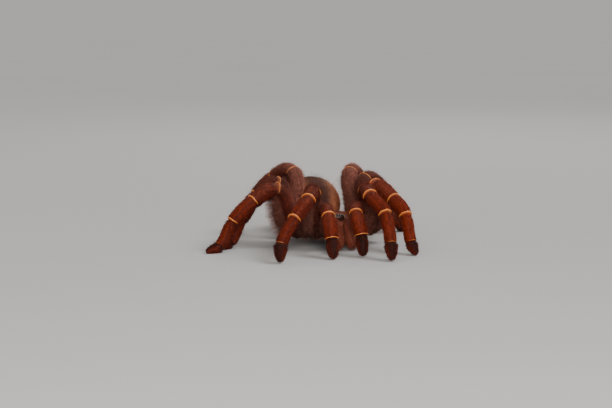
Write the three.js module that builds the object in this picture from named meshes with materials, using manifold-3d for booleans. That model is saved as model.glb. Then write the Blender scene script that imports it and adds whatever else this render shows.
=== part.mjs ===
/**
 * Tarantula, life size, standing high on drawn-in legs.
 *
 * Units are millimetres. +Z is up and the floor is z = 0. The animal faces -Y and its
 * left side is +X. The finished group is set so that its origin lies on the floor,
 * below the middle of its box. Every solid reaches out to the tips of the hair coat.
 */
import * as THREE from 'three';
import { mergeVertices } from 'three/addons/utils/BufferGeometryUtils.js';
import Module from 'manifold-3d';

const wasm = await Module();
wasm.setup();

// ---------------------------------------------------------------------------
// Driving dimensions, in millimetres and degrees
// ---------------------------------------------------------------------------

const GAP = 0.3;            // clearance kept between neighbouring pieces
const HIP_HEIGHT = 9.6;     // middle of the joint between hip and femur
const ROOT_HEIGHT = 8.4;    // middle of the hips where they meet below the shield
const TOE_HEIGHT = 0.05;    // middle of the blunt toe; what passes the floor is planed off
const LIMB_SIDES = 10;
const BODY_SIDES = 18;
const KNEE = 2;             // the joint between femur and patella, counted from the root
const JAW_SIDES = 12;
const MOUND_SIDES = 12;
const BEND_REACH = 0.33;    // share of a segment's length over which a joint's bend is spread
const KNEE_LEAN = 0.56;     // share of the bend at the knee that the femur takes up
const LARGE = 400;          // edge of the blocks that plane a flat

/** Radius along a segment, as [place from 0 to 1, share of the full radius]. */
const SEGMENT_PROFILES = {
  coxa: [[0, 0.8], [0.6, 0.98], [1, 0.92]],
  femur: [[0, 0.84], [0.14, 0.95], [0.36, 1], [0.66, 0.98], [0.86, 0.95], [1, 0.88]],
  patella: [[0, 0.95], [0.3, 1], [0.75, 0.98], [1, 0.9]],
  tibia: [[0, 0.93], [0.22, 1], [0.75, 0.97], [1, 0.86]],
  metatarsus: [[0, 0.94], [0.2, 1], [0.6, 0.97], [0.86, 1], [1, 0.98]],
  tarsus: [[0, 0.94], [0.14, 1.04], [0.4, 0.94], [0.7, 0.72], [0.9, 0.5], [1, 0.34]],
  palm: [[0, 0.86], [0.22, 1], [0.5, 1], [0.76, 0.86], [0.92, 0.62], [1, 0.38]],
};

const LEG_SEGMENTS = ['femur', 'patella', 'tibia', 'metatarsus', 'tarsus'];
const PALP_SEGMENTS = ['femur', 'patella', 'tibia', 'tarsus'];

/**
 * Limb pairs from front to back. root and hip are [x, y] on the left side, and length and
 * radius follow the segments' order.
 */
const PALP = {
  segments: PALP_SEGMENTS,
  foot: 'palm',
  root: [3.5, -10.5],
  hip: [9, -18],
  coxaRadius: 3.3,
  length: [14, 9.8, 11.6, 10.5],
  radius: [3.4, 3.7, 3.9, 3.1],
};
const LEG_1 = {
  segments: LEG_SEGMENTS,
  foot: 'tarsus',
  root: [5, -6.5],
  hip: [14.5, -13],
  coxaRadius: 4.1,
  length: [18.9, 13.7, 17, 14.9, 9],
  radius: [4.5, 4.1, 3.7, 3.3, 3.4],
};
const LEG_2 = {
  segments: LEG_SEGMENTS,
  foot: 'tarsus',
  root: [5.5, -2],
  hip: [21.5, -4],
  coxaRadius: 4.1,
  length: [21, 13.3, 14.3, 13.4, 7.6],
  radius: [5.3, 4.1, 3.8, 3.2, 3],
};
const LEG_3 = {
  segments: LEG_SEGMENTS,
  foot: 'tarsus',
  root: [5.5, 2.5],
  hip: [21.5, 6],
  coxaRadius: 4.1,
  length: [21.6, 12.5, 12.8, 13.8, 9.3],
  radius: [4.7, 4.1, 3.8, 3.2, 2.9],
};
const LEG_4 = {
  segments: LEG_SEGMENTS,
  foot: 'tarsus',
  root: [4.5, 7],
  hip: [15.5, 16],
  coxaRadius: 4.3,
  length: [25.1, 13.4, 16.2, 17.6, 11.4],
  radius: [4.8, 4.4, 4.2, 3.5, 3],
};

/**
 * The stance. yaw turns a segment from straight ahead towards the limb's own side, and
 * pitch raises it, one value for each segment from the femur out.
 */
const LEFT = 1;
const RIGHT = -1;
const LIMBS = [
  { name: 'palp_L', plan: PALP, side: LEFT, yaw: [-27, -19, 9, -3], pitch: [55, -8, -57, -69] },
  { name: 'palp_R', plan: PALP, side: RIGHT, yaw: [12, 7, -2, 8], pitch: [54, -10, -63, -55] },
  { name: 'leg_L1', plan: LEG_1, side: LEFT, yaw: [-25, -8, 9, 2, -12], pitch: [77, -3, -23, -58, -60] },
  { name: 'leg_L2', plan: LEG_2, side: LEFT, yaw: [-7, 23, 8, 7, 11], pitch: [69, -23, -26, -63, -49] },
  { name: 'leg_L3', plan: LEG_3, side: LEFT, yaw: [179, 117, 122, 122, 121], pitch: [75, -23, -46, -60, -23] },
  { name: 'leg_L4', plan: LEG_4, side: LEFT, yaw: [168, 146, 149, 151, 148], pitch: [64, -15, -37, -50, -30] },
  { name: 'leg_R1', plan: LEG_1, side: RIGHT, yaw: [-4, 25, 41, 47, 29], pitch: [81, -9, -25, -44, -70] },
  { name: 'leg_R2', plan: LEG_2, side: RIGHT, yaw: [87, 72, 76, 78, 75], pitch: [63, -21, -40, -58, -24] },
  { name: 'leg_R3', plan: LEG_3, side: RIGHT, yaw: [95, 73, 70, 68, 68], pitch: [73, -26, -50, -58, -20] },
  { name: 'leg_R4', plan: LEG_4, side: RIGHT, yaw: [181, 149, 144, 146, 147], pitch: [78, -16, -41, -52, -31] },
];

/** Body lofts: stations along the body as [y, half width, half height, middle height]. */
const CARAPACE = {
  stations: [
    [-17.2, 5.4, 1.8, 12], [-15.8, 7.6, 3.2, 11.8], [-12, 9.2, 4.6, 11.6], [-6, 11.4, 5.6, 11.3],
    [1, 13.8, 5.5, 11], [8, 13.2, 4.8, 10.8], [13.5, 9.8, 3.6, 10.8], [16.4, 5, 2, 10.8],
  ],
  rim: 10.4,
};
const STERNUM = {
  stations: [[-13, 3.4, 1.6, 7.8], [-8, 6.6, 2.8, 7.9], [2, 8.2, 3.2, 8.1], [9.5, 6, 2.6, 8.6], [13, 3, 1.6, 8.8]],
};
const ABDOMEN = {
  stations: [
    [17.2, 4.2, 4, 12], [19.2, 8.4, 7.6, 13.2], [25, 12.2, 11, 15.4], [33, 14.1, 12.7, 16.7],
    [41, 14.4, 12.9, 16.9], [49, 12.9, 11.6, 16], [55.5, 8.4, 7.8, 14.6], [58.6, 3.4, 3.2, 13.4],
  ],
};
const PEDICEL = { from: [0, 13.8, 11], to: [0, 20, 12], radius: 2.2 };
const CHELICERA = {
  stations: [
    [0, 2.6, 3, 0], [1.6, 3.5, 4.4, 0.4], [5.5, 3.9, 5.4, 0.6], [10, 3.8, 4.6, 0.4],
    [13, 3.1, 3.3, 0.3], [14.5, 1.9, 2, 0.2],
  ],
  offset: 3.9,
  top: [-14.6, 12.2],
  pitch: -43,
};
const FANG = { radius: 1.2, points: [[3.4, -23.4, 4.8], [3.7, -23, 2.8], [3.5, -20, 2.3], [3.1, -17, 3.6]] };
const EYE_MOUND = { centre: [0, -13.6, 15.3], size: [3.1, 2.1, 2] };
const SPINNERET = { radius: 1.5, points: [[1.9, 55, 10.8], [2.6, 59, 9.8], [3.2, 62.5, 9.8], [3.5, 66, 11.2]] };
const TAPER = [[0, 1], [0.4, 0.95], [0.75, 0.72], [1, 0.34]];
const EVEN = [[0, 1], [1, 1]];
const SIDEWAYS = new THREE.Vector3(1, 0, 0);

// ---------------------------------------------------------------------------
// Materials
// ---------------------------------------------------------------------------

const legCoat = new THREE.MeshStandardMaterial({ name: 'leg_coat', color: 0x8a3a1c, roughness: 0.8, metalness: 0 });
const shieldCoat = new THREE.MeshStandardMaterial({
  name: 'shield_coat', color: 0x9c5426, roughness: 0.75, metalness: 0,
});
const abdomenCoat = new THREE.MeshStandardMaterial({
  name: 'abdomen_coat', color: 0x8a5a40, roughness: 0.9, metalness: 0,
});
const jawCoat = new THREE.MeshStandardMaterial({ name: 'jaw_coat', color: 0x7c3320, roughness: 0.75, metalness: 0 });
const underCoat = new THREE.MeshStandardMaterial({ name: 'under_coat', color: 0x4a241a, roughness: 0.85, metalness: 0 });
const eyeGloss = new THREE.MeshStandardMaterial({ name: 'eye_gloss', color: 0x120c0a, roughness: 0.12, metalness: 0 });
const fangHorn = new THREE.MeshStandardMaterial({ name: 'fang_horn', color: 0x1a0d0a, roughness: 0.25, metalness: 0 });

// ---------------------------------------------------------------------------
// Solids
// ---------------------------------------------------------------------------

/** A closed solid from a three.js geometry, welded and without its zero-area faces. */
function toSolid(geometry) {
  geometry.deleteAttribute('normal');
  geometry.deleteAttribute('uv');
  const welded = mergeVertices(geometry);
  const corners = welded.index.array;
  const kept = [];
  for (let i = 0; i < corners.length; i += 3) {
    const [a, b, c] = corners.slice(i, i + 3);
    if (a !== b && b !== c && c !== a) {
      kept.push(a, b, c);
    }
  }
  return new wasm.Manifold(new wasm.Mesh({
    numProp: 3,
    vertProperties: new Float32Array(welded.attributes.position.array),
    triVerts: new Uint32Array(kept),
  }));
}

/** The named mesh of a solid. */
function toMesh(name, solid, material) {
  const { vertProperties, triVerts } = solid.getMesh();
  const geometry = new THREE.BufferGeometry();
  geometry.setAttribute('position', new THREE.BufferAttribute(vertProperties, 3));
  geometry.setIndex(new THREE.BufferAttribute(triVerts, 1));
  geometry.computeVertexNormals();
  const mesh = new THREE.Mesh(geometry, material);
  mesh.name = name;
  return mesh;
}

/** A large block around a point, which fills the space past a plane. */
function block(x, y, z) {
  return toSolid(new THREE.BoxGeometry(LARGE, LARGE, LARGE).translate(x, y, z));
}

/** An ellipsoid, with growth the room that it needs. */
function ellipsoid({ centre, size }, growth = 0) {
  const geometry = new THREE.SphereGeometry(1, MOUND_SIDES, MOUND_SIDES / 2);
  geometry.scale(...size.map((half) => half + growth));
  return toSolid(geometry.translate(...centre));
}

/**
 * A round bar of changing radius along a curve. lateral is the direction across the
 * bend, and trim is the length taken off each end, or added where it is negative.
 */
function bar(curve, profile, radius, lateral, trim = 0) {
  const outline = profile.map(([place, share]) => new THREE.Vector2(radius * share, place));
  outline.unshift(new THREE.Vector2(0, 0));
  outline.push(new THREE.Vector2(0, 1));
  const geometry = new THREE.LatheGeometry(outline, LIMB_SIDES);
  const position = geometry.attributes.position;
  const length = curve.getLength();
  for (let i = 0; i < position.count; i += 1) {
    const wanted = THREE.MathUtils.lerp(trim / length, 1 - trim / length, position.getY(i));
    const place = THREE.MathUtils.clamp(wanted, 0, 1);
    const tangent = curve.getTangentAt(place);
    const dorsal = new THREE.Vector3().crossVectors(lateral, tangent).normalize();
    const across = new THREE.Vector3().crossVectors(tangent, dorsal);
    const vertex = curve.getPointAt(place).addScaledVector(tangent, (wanted - place) * length);
    vertex.addScaledVector(across, position.getX(i));
    vertex.addScaledVector(dorsal, position.getZ(i));
    position.setXYZ(i, vertex.x, vertex.y, vertex.z);
  }
  return toSolid(geometry);
}

/** A body lofted along Y through stations of [y, half width, half height, middle height]. */
function loft(stations, sides = BODY_SIDES, growth = 0) {
  const plan = new THREE.CatmullRomCurve3(stations.map(([y, width]) => new THREE.Vector3(width, y, 0)));
  const side = new THREE.CatmullRomCurve3(stations.map(([y, , height, z]) => new THREE.Vector3(height, y, z)));
  const steps = Math.round(1.5 * (stations.length - 1));
  const widths = plan.getPoints(steps);
  const heights = side.getPoints(steps);
  const outline = widths.map((point, step) => new THREE.Vector2(1, step));
  outline.unshift(new THREE.Vector2(0, 0));
  outline.push(new THREE.Vector2(0, steps));
  const geometry = new THREE.LatheGeometry(outline, sides);
  const position = geometry.attributes.position;
  for (let i = 0; i < position.count; i += 1) {
    const step = Math.round(position.getY(i));
    const outward = step === 0 ? -growth : (step === steps ? growth : 0);
    position.setXYZ(
      i,
      position.getX(i) * (widths[step].x + growth),
      widths[step].y + outward,
      heights[step].z + position.getZ(i) * (heights[step].x + growth),
    );
  }
  return toSolid(geometry);
}

/** A smooth curve through [x, y, z] points, on the left side or mirrored to the right. */
function curveThrough(points, side) {
  return new THREE.CatmullRomCurve3(points.map(([x, y, z]) => new THREE.Vector3(side * x, y, z)));
}

// ---------------------------------------------------------------------------
// Limbs
// ---------------------------------------------------------------------------

/** Unit vector of a limb segment. */
function heading(side, yaw, pitch) {
  const turn = THREE.MathUtils.degToRad(yaw);
  const rise = THREE.MathUtils.degToRad(pitch);
  return new THREE.Vector3(
    side * Math.sin(turn) * Math.cos(rise),
    -Math.cos(turn) * Math.cos(rise),
    Math.sin(rise),
  );
}

/** The joints from root to toe, with everything past the knee swung by some degrees. */
function jointPoints({ plan, side, yaw, pitch }, swing) {
  const joints = [
    new THREE.Vector3(side * plan.root[0], plan.root[1], ROOT_HEIGHT),
    new THREE.Vector3(side * plan.hip[0], plan.hip[1], HIP_HEIGHT),
  ];
  plan.length.forEach((length, i) => {
    const rise = i === 0 ? pitch[i] : pitch[i] + swing;
    joints.push(heading(side, yaw[i], rise).multiplyScalar(length).add(joints.at(-1)));
  });
  return joints;
}

/** The joints with the knee bent just so far that the toe comes down to the floor. */
function standingJoints(limb) {
  let low = -25;
  let high = 25;
  for (let i = 0; i < 40; i += 1) {
    const swing = (low + high) / 2;
    if (jointPoints(limb, swing).at(-1).z > TOE_HEIGHT) {
      high = swing;
    } else {
      low = swing;
    }
  }
  return jointPoints(limb, low);
}

/** One curve for each segment, turning smoothly into the next at the joints. */
function segmentCurves(joints) {
  const chords = joints.slice(1).map((joint, i) => joint.clone().sub(joints[i]));
  const tangents = joints.map((joint, i) => {
    const before = chords[Math.max(i - 1, 0)].clone().normalize();
    const after = chords[Math.min(i, chords.length - 1)].clone().normalize();
    return before.lerp(after, i === KNEE ? KNEE_LEAN : 0.5).normalize();
  });
  return chords.map((chord, i) => {
    const reach = BEND_REACH * chord.length();
    return new THREE.CubicBezierCurve3(
      joints[i],
      joints[i].clone().addScaledVector(tangents[i], reach),
      joints[i + 1].clone().addScaledVector(tangents[i + 1], -reach),
      joints[i + 1],
    );
  });
}

/** A limb: its curves, the direction across its bend and the radius of each segment. */
function layOut(limb) {
  const joints = standingJoints(limb);
  const stride = joints.at(-1).clone().sub(joints[1]).setZ(0).normalize();
  return {
    ...limb,
    curves: segmentCurves(joints),
    lateral: new THREE.Vector3(-stride.y, stride.x, 0),
    profiles: ['coxa', ...limb.plan.segments.slice(0, -1), limb.plan.foot].map((name) => SEGMENT_PROFILES[name]),
    radii: [limb.plan.coxaRadius, ...limb.plan.radius],
  };
}

/** One segment of a limb. With growth it is the room that the segment needs. */
function segmentSolid(limb, index, growth = 0) {
  const trim = growth > 0 ? -GAP / 2 : GAP / 2;
  return bar(limb.curves[index], limb.profiles[index], limb.radii[index] + growth, limb.lateral, trim);
}

/** All solids of a list as one. */
function joined(solids) {
  return solids.reduce((sum, solid) => sum.add(solid));
}

// ---------------------------------------------------------------------------
// Assembly
// ---------------------------------------------------------------------------

const tarantula = new THREE.Group();
const limbs = LIMBS.map(layOut);
const aboveFloor = block(0, 0, LARGE / 2);

for (const limb of limbs) {
  limb.plan.segments.forEach((segment, i) => {
    const solid = segmentSolid(limb, i + 1).intersect(aboveFloor);
    tarantula.add(toMesh(`${limb.name}_${segment}`, solid, legCoat));
  });
}

const femurRoom = joined(limbs.map((limb) => segmentSolid(limb, 1, GAP)));
const coxaRoom = joined(limbs.map((limb) => segmentSolid(limb, 0, GAP)));
const coxae = joined(limbs.map((limb) => segmentSolid(limb, 0)));

const pedicelLine = new THREE.LineCurve3(new THREE.Vector3(...PEDICEL.from), new THREE.Vector3(...PEDICEL.to));
const pedicel = bar(pedicelLine, EVEN, PEDICEL.radius, SIDEWAYS);
const pedicelRoom = bar(pedicelLine, EVEN, PEDICEL.radius + GAP, SIDEWAYS, -GAP);

const plate = loft(STERNUM.stations);
const plateRoom = loft(STERNUM.stations, BODY_SIDES, GAP);
const shieldRoom = loft(CARAPACE.stations, BODY_SIDES, GAP);
const abdomenRoom = loft(ABDOMEN.stations, BODY_SIDES, GAP);

const carapace = loft(CARAPACE.stations)
  .intersect(block(0, 0, CARAPACE.rim + LARGE / 2))
  .subtract(joined([coxaRoom, femurRoom, plateRoom, pedicelRoom, ellipsoid(EYE_MOUND, GAP)]));
tarantula.add(toMesh('carapace', carapace, shieldCoat));
tarantula.add(toMesh('eye_mound', ellipsoid(EYE_MOUND), eyeGloss));
tarantula.add(toMesh('sternum_and_hips', plate.add(coxae).subtract(femurRoom).subtract(pedicelRoom), underCoat));
tarantula.add(toMesh('abdomen', loft(ABDOMEN.stations).add(pedicel), abdomenCoat));

for (const [letter, side] of [['L', LEFT], ['R', RIGHT]]) {
  const fangCurve = curveThrough(FANG.points, side);
  const fangRoom = bar(fangCurve, TAPER, FANG.radius + GAP, SIDEWAYS, -GAP);
  tarantula.add(toMesh(`fang_${letter}`, bar(fangCurve, TAPER, FANG.radius, SIDEWAYS), fangHorn));

  const otherSide = block(side * (GAP - LARGE) / 2, 0, 0);
  const jaw = loft(CHELICERA.stations, JAW_SIDES)
    .rotate([CHELICERA.pitch, 0, 180])
    .translate([side * CHELICERA.offset, ...CHELICERA.top])
    .subtract(joined([otherSide, shieldRoom, plateRoom, coxaRoom, femurRoom, fangRoom]));
  tarantula.add(toMesh(`chelicera_${letter}`, jaw, jawCoat));

  const spinneret = bar(curveThrough(SPINNERET.points, side), TAPER, SPINNERET.radius, SIDEWAYS);
  tarantula.add(toMesh(`spinneret_${letter}`, spinneret.subtract(abdomenRoom), abdomenCoat));
}

const box = new THREE.Box3().setFromObject(tarantula);
const middle = box.getCenter(new THREE.Vector3());
tarantula.position.set(-middle.x, -middle.y, -box.min.z);

export default tarantula;
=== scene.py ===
"""A tarantula for display: one fused skin under a coat of fine solid hairs.

The eyes, fangs, claws and the bare rims of the leg joints are pieces of their own.
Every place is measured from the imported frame. Lengths are metres unless a name says mm,
and places along, around and on a map run from 0 to 1 unless a docstring says otherwise.
"""

import logging
import math
from dataclasses import astuple, dataclass, field
from enum import Enum
from functools import cache
from typing import Callable, Optional, Sequence

import bmesh
import bpy
import numpy as np
from mathutils import Matrix, Vector
from mathutils.bvhtree import BVHTree
from mathutils.kdtree import KDTree


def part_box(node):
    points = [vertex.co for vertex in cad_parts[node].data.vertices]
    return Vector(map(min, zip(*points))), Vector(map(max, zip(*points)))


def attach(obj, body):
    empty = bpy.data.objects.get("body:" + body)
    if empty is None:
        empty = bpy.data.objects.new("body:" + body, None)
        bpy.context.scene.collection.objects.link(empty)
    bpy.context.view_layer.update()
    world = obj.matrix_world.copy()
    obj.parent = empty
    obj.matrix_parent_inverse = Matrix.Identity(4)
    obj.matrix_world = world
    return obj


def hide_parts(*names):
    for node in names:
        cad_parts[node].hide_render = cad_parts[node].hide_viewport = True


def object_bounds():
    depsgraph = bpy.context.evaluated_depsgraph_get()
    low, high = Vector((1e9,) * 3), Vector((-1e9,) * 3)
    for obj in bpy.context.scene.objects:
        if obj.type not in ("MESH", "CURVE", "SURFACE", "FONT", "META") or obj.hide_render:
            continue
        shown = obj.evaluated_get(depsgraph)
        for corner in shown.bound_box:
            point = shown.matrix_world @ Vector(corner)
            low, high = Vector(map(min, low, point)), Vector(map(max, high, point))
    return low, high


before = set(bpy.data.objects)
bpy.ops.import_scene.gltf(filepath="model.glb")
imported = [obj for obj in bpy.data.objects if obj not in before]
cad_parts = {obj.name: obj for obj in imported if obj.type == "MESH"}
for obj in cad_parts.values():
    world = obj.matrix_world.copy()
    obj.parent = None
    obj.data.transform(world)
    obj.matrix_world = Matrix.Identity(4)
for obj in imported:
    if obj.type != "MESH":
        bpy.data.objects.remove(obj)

Array = np.ndarray
BMesh = bmesh.types.BMesh
Colour = tuple[float, float, float, float]
Point = tuple[float, float, float]
Outline = tuple[tuple[float, float], ...]
Marks = dict[str, Array]
Surface = Callable[[Array, Array], Array]
Marking = Callable[[Array, Array], Marks]

CAD_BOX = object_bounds()
MM = 0.001
BODY = "root"
LEFT_AND_RIGHT = (1.0, -1.0)
# Hairs rise past the ceiling only by part of the headroom.
CEILING = CAD_BOX[1][2] - 0.2 * MM
HEADROOM = 1.5 * MM
# Lowest heights of the skin and of the hairs.
SOLE = 0.04 * MM
HAIR_SOLE = 0.03 * MM
# How deep hairs are rooted, and how far from the fused skin a root may lie.
ROOT_DEPTH = 0.12 * MM

logging.basicConfig(level=logging.INFO, format="%(message)s")
log = logging.getLogger("tarantula")


# --- Small mathematics ---


def unit(vectors: Array) -> Array:
    """Vectors scaled to length one along the last axis."""
    return vectors / np.maximum(np.linalg.norm(vectors, axis=-1, keepdims=True), 1e-30)


def smooth_step(low: float, high: float, value: Array) -> Array:
    """A soft ramp from 0 at the low value to 1 at the high one."""
    t = np.clip((value - low) / (high - low), 0.0, 1.0)
    return t * t * (3.0 - 2.0 * t)


def step_along(outline: Outline, place: Array) -> Array:
    """Values along an outline of (place, value) pairs."""
    places, values = zip(*outline)
    return np.interp(place, places, values)


def grid(places: Array, columns: int) -> tuple[Array, Array]:
    """Every pair of a place along and one of even places around, as two flat rows."""
    along, around = np.meshgrid(places, np.arange(columns) / columns)
    return along.ravel(), around.ravel()


def through(knots: Array, place: Array) -> Array:
    """A smooth curve through rows of numbers, with rounded closed ends.

    Args:
        knots: One row for each knot; all columns but the first mirror at the ends.
        place: Places along the curve.

    Returns:
        One row for each place.
    """
    first = 2.0 * knots[0] - knots[1]
    last = 2.0 * knots[-1] - knots[-2]
    first[0], last[0] = knots[1][0], knots[-2][0]
    rows = np.vstack([first, knots, last])
    spot = np.clip(place, 0.0, 1.0) * (len(knots) - 1)
    index = np.minimum(spot.astype(int), len(knots) - 2)
    t = (spot - index)[..., None]
    before, start, end, after = (rows[index + k] for k in range(4))
    slope_0, slope_1 = (end - before) / 2.0, (after - start) / 2.0
    return (
        (2 * t**3 - 3 * t**2 + 1) * start
        + (t**3 - 2 * t**2 + t) * slope_0
        + (3 * t**2 - 2 * t**3) * end
        + (t**3 - t**2) * slope_1
    )


# --- Mesh tools ---


def closed_tube(sides: int, rings: int, surface: Surface) -> BMesh:
    """A closed tube laid on a surface function, with its faces pointing out.

    Args:
        sides: Faces around the tube.
        rings: Rings of vertices along the tube.
        surface: Gives points for places along and around.

    Returns:
        The tube.
    """
    mesh = bmesh.new()
    bmesh.ops.create_cone(mesh, cap_ends=True, segments=sides, radius1=1.0, radius2=1.0, depth=1.0)
    lengthwise = [e for e in mesh.edges if abs(e.verts[0].co.z - e.verts[1].co.z) > 0.5]
    bmesh.ops.subdivide_edges(mesh, edges=lengthwise, cuts=rings - 2, use_grid_fill=True)
    rest = np.array([v.co for v in mesh.verts])
    along = np.round((rest[:, 2] + 0.5) * (rings - 1)) / (rings - 1)
    around = (np.arctan2(rest[:, 1], rest[:, 0]) / math.tau) % 1.0
    for vertex, place in zip(mesh.verts, surface(along, around)):
        vertex.co = place
    bmesh.ops.recalc_face_normals(mesh, faces=mesh.faces)
    return mesh


def ball(place: Vector, size: Point, turn: Matrix, sides: int) -> BMesh:
    """An ellipsoid.

    Args:
        place: Its centre.
        size: Its half sizes along its own axes.
        turn: Its rotation.
        sides: Faces around it.

    Returns:
        The ellipsoid.
    """
    mesh = bmesh.new()
    bmesh.ops.create_uvsphere(mesh, u_segments=sides, v_segments=sides // 2, radius=1.0)
    matrix = Matrix.Translation(place) @ turn.to_4x4() @ Matrix.Diagonal((*size, 1.0))
    bmesh.ops.transform(mesh, matrix=matrix, verts=mesh.verts)
    return mesh


def link_object(name: str, data: bpy.types.ID) -> bpy.types.Object:
    """A new object of the scene, at the origin.

    Args:
        name: The object's name.
        data: Its data.

    Returns:
        The object.
    """
    made = bpy.data.objects.new(name, data)
    bpy.context.scene.collection.objects.link(made)
    return made


def to_object(name: str, parts: Sequence[BMesh], smooth: bool = True) -> bpy.types.Object:
    """One object from several bmeshes, which are freed.

    Args:
        name: The object's name.
        parts: The bmeshes.
        smooth: Whether its faces are shaded smooth.

    Returns:
        The new object.
    """
    joined = bmesh.new()
    for part in parts:
        data = bpy.data.meshes.new("part")
        part.to_mesh(data)
        joined.from_mesh(data)
        bpy.data.meshes.remove(data)
        part.free()
    data = bpy.data.meshes.new(name)
    joined.to_mesh(data)
    joined.free()
    data.polygons.foreach_set("use_smooth", [smooth] * len(data.polygons))
    return link_object(name, data)


def corners_of(data: bpy.types.Mesh) -> Array:
    """The vertices of a mesh, one row of x, y, z for each.

    Args:
        data: The mesh.

    Returns:
        The rows.
    """
    flat = np.empty(len(data.vertices) * 3, np.float32)
    data.vertices.foreach_get("co", flat)
    return flat.reshape(-1, 3).astype(float)


def triangles_of(data: bpy.types.Mesh) -> list[tuple[int, ...]]:
    """The corner numbers of a mesh's triangles."""
    data.calc_loop_triangles()
    return [tuple(t.vertices) for t in data.loop_triangles]


def set_value(data: bpy.types.Mesh, name: str, values: Array) -> None:
    """Stores one number for each vertex, under the name that materials read."""
    attribute = data.attributes.new(name, "FLOAT", "POINT")
    attribute.data.foreach_set("value", np.ascontiguousarray(values, np.float32))


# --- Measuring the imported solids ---


@dataclass(frozen=True)
class EndFace:
    """A flat round end of a solid.

    Attributes:
        centre: The middle of the face.
        normal: Its outward direction.
        radius: Its radius.
    """

    centre: Array
    normal: Array
    radius: float


def end_faces(node: str, count: int) -> list[EndFace]:
    """The largest flat faces of a CAD node, apart from a sole on the floor.

    Args:
        node: The node's name.
        count: How many faces are wanted.

    Returns:
        The faces, largest first.
    """
    downward, same_way, same_plane, least_area = -0.999, 0.9999, 0.02 * MM, 1e-4 * MM**2
    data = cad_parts[node].data
    corners, triangles = corners_of(data), np.array(triangles_of(data))
    a, b, c = (corners[triangles[:, k]] for k in range(3))
    cross = np.cross(b - a, c - a)
    area = np.linalg.norm(cross, axis=1) / 2.0
    normal = unit(cross)
    offset = (normal * a).sum(axis=1)
    free = (normal[:, 2] > downward) & (area > least_area)
    found: list[tuple[float, EndFace]] = []
    for index in np.argsort(-area):
        if not free[index]:
            continue
        near = np.abs(offset - offset[index]) < same_plane
        flat = free & (normal @ normal[index] > same_way) & near
        free &= ~flat
        total = area[flat].sum()
        middle = (((a + b + c) / 3.0)[flat] * area[flat][:, None]).sum(axis=0) / total
        edge = corners[np.unique(triangles[flat])]
        radius = float(np.linalg.norm(edge - middle, axis=1).max())
        found.append((total, EndFace(middle, normal[index], radius)))
    found.sort(key=lambda item: -item[0])
    return [face for _, face in found[:count]]


@dataclass(frozen=True)
class BodyFrame:
    """The trunk's own axes: x to the animal's left, y backwards, in mm from its middle.

    Attributes:
        origin: Its middle on the floor.
    """

    origin: Array

    @classmethod
    def measured(cls, front_mm: float) -> "BodyFrame":
        """The frame that puts the shield's front edge at a given place along y."""
        low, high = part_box("carapace")
        return cls(np.array([(low.x + high.x) / 2.0, low.y - front_mm * MM, 0.0]))

    def place(self, points_mm: Sequence[float] | Array) -> Array:
        """Points of the trunk, given in mm, in the row frame's metres."""
        return self.origin + np.asarray(points_mm, float) * MM


TRUNK = BodyFrame.measured(front_mm=-17.2)


# --- Limbs ---


class Segment(Enum):
    """The segments of a limb, from the body out."""

    COXA = "coxa"
    FEMUR = "femur"
    PATELLA = "patella"
    TIBIA = "tibia"
    METATARSUS = "metatarsus"
    TARSUS = "tarsus"
    PALM = "palp tarsus"

    def is_foot(self) -> bool:
        """Whether the limb ends in this segment."""
        return self in (Segment.TARSUS, Segment.PALM)


@dataclass(frozen=True)
class SegmentShape:
    """How one kind of segment is shaped and marked.

    Attributes:
        coat_mm: Depth of its coat.
        end_share: Its solid's radius at the measured end, as a share of the full radius.
        tone: How bright its rust colour is, from 0, nearly black, to 1, orange.
        hair_mm: Length of its coat hairs.
        bristle_mm: Length of its bristles.
        outline: Skin radius along it, as (place, share) pairs.
    """

    coat_mm: float
    end_share: float
    tone: float
    hair_mm: float
    bristle_mm: float
    outline: Outline


SHAPES: dict[Segment, SegmentShape] = {
    Segment.COXA: SegmentShape(
        0.45, 1.0, 0.3, 1.8, 3.0, ((0, 0.8), (0.6, 0.98), (0.93, 1.0), (1, 0.9))
    ),
    Segment.FEMUR: SegmentShape(
        0.55, 0.88, 0.34, 2.6, 4.6,
        ((0, 0.8), (0.03, 0.88), (0.14, 0.96), (0.36, 1.0), (0.66, 0.98), (0.88, 0.94),
         (0.96, 0.96), (0.985, 0.97), (1, 0.84)),
    ),
    Segment.PATELLA: SegmentShape(
        0.48, 0.9, 0.5, 2.2, 3.8,
        ((0, 0.84), (0.05, 0.94), (0.3, 1.0), (0.75, 0.98), (0.94, 0.95), (0.98, 0.97), (1, 0.82)),
    ),
    Segment.TIBIA: SegmentShape(
        0.45, 0.86, 0.6, 2.1, 3.6,
        ((0, 0.84), (0.05, 0.94), (0.22, 1.0), (0.75, 0.97), (0.93, 0.92), (0.98, 0.95), (1, 0.8)),
    ),
    Segment.METATARSUS: SegmentShape(
        0.42, 0.98, 0.56, 1.9, 3.0,
        ((0, 0.84), (0.05, 0.95), (0.2, 1.0), (0.6, 0.97), (0.86, 0.98), (0.975, 1.0), (1, 0.84)),
    ),
    Segment.TARSUS: SegmentShape(
        0.32, 0.94, 0.2, 1.6, 2.0,
        ((0, 0.84), (0.05, 0.97), (0.14, 1.04), (0.4, 0.94), (0.7, 0.72), (0.9, 0.5), (0.97, 0.36),
         (1, 0.18)),
    ),
    Segment.PALM: SegmentShape(
        0.32, 0.86, 0.2, 1.6, 2.0,
        ((0, 0.78), (0.06, 0.9), (0.22, 1.0), (0.5, 1.0), (0.76, 0.86), (0.92, 0.62), (0.97, 0.42),
         (1, 0.2)),
    ),
}


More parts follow.
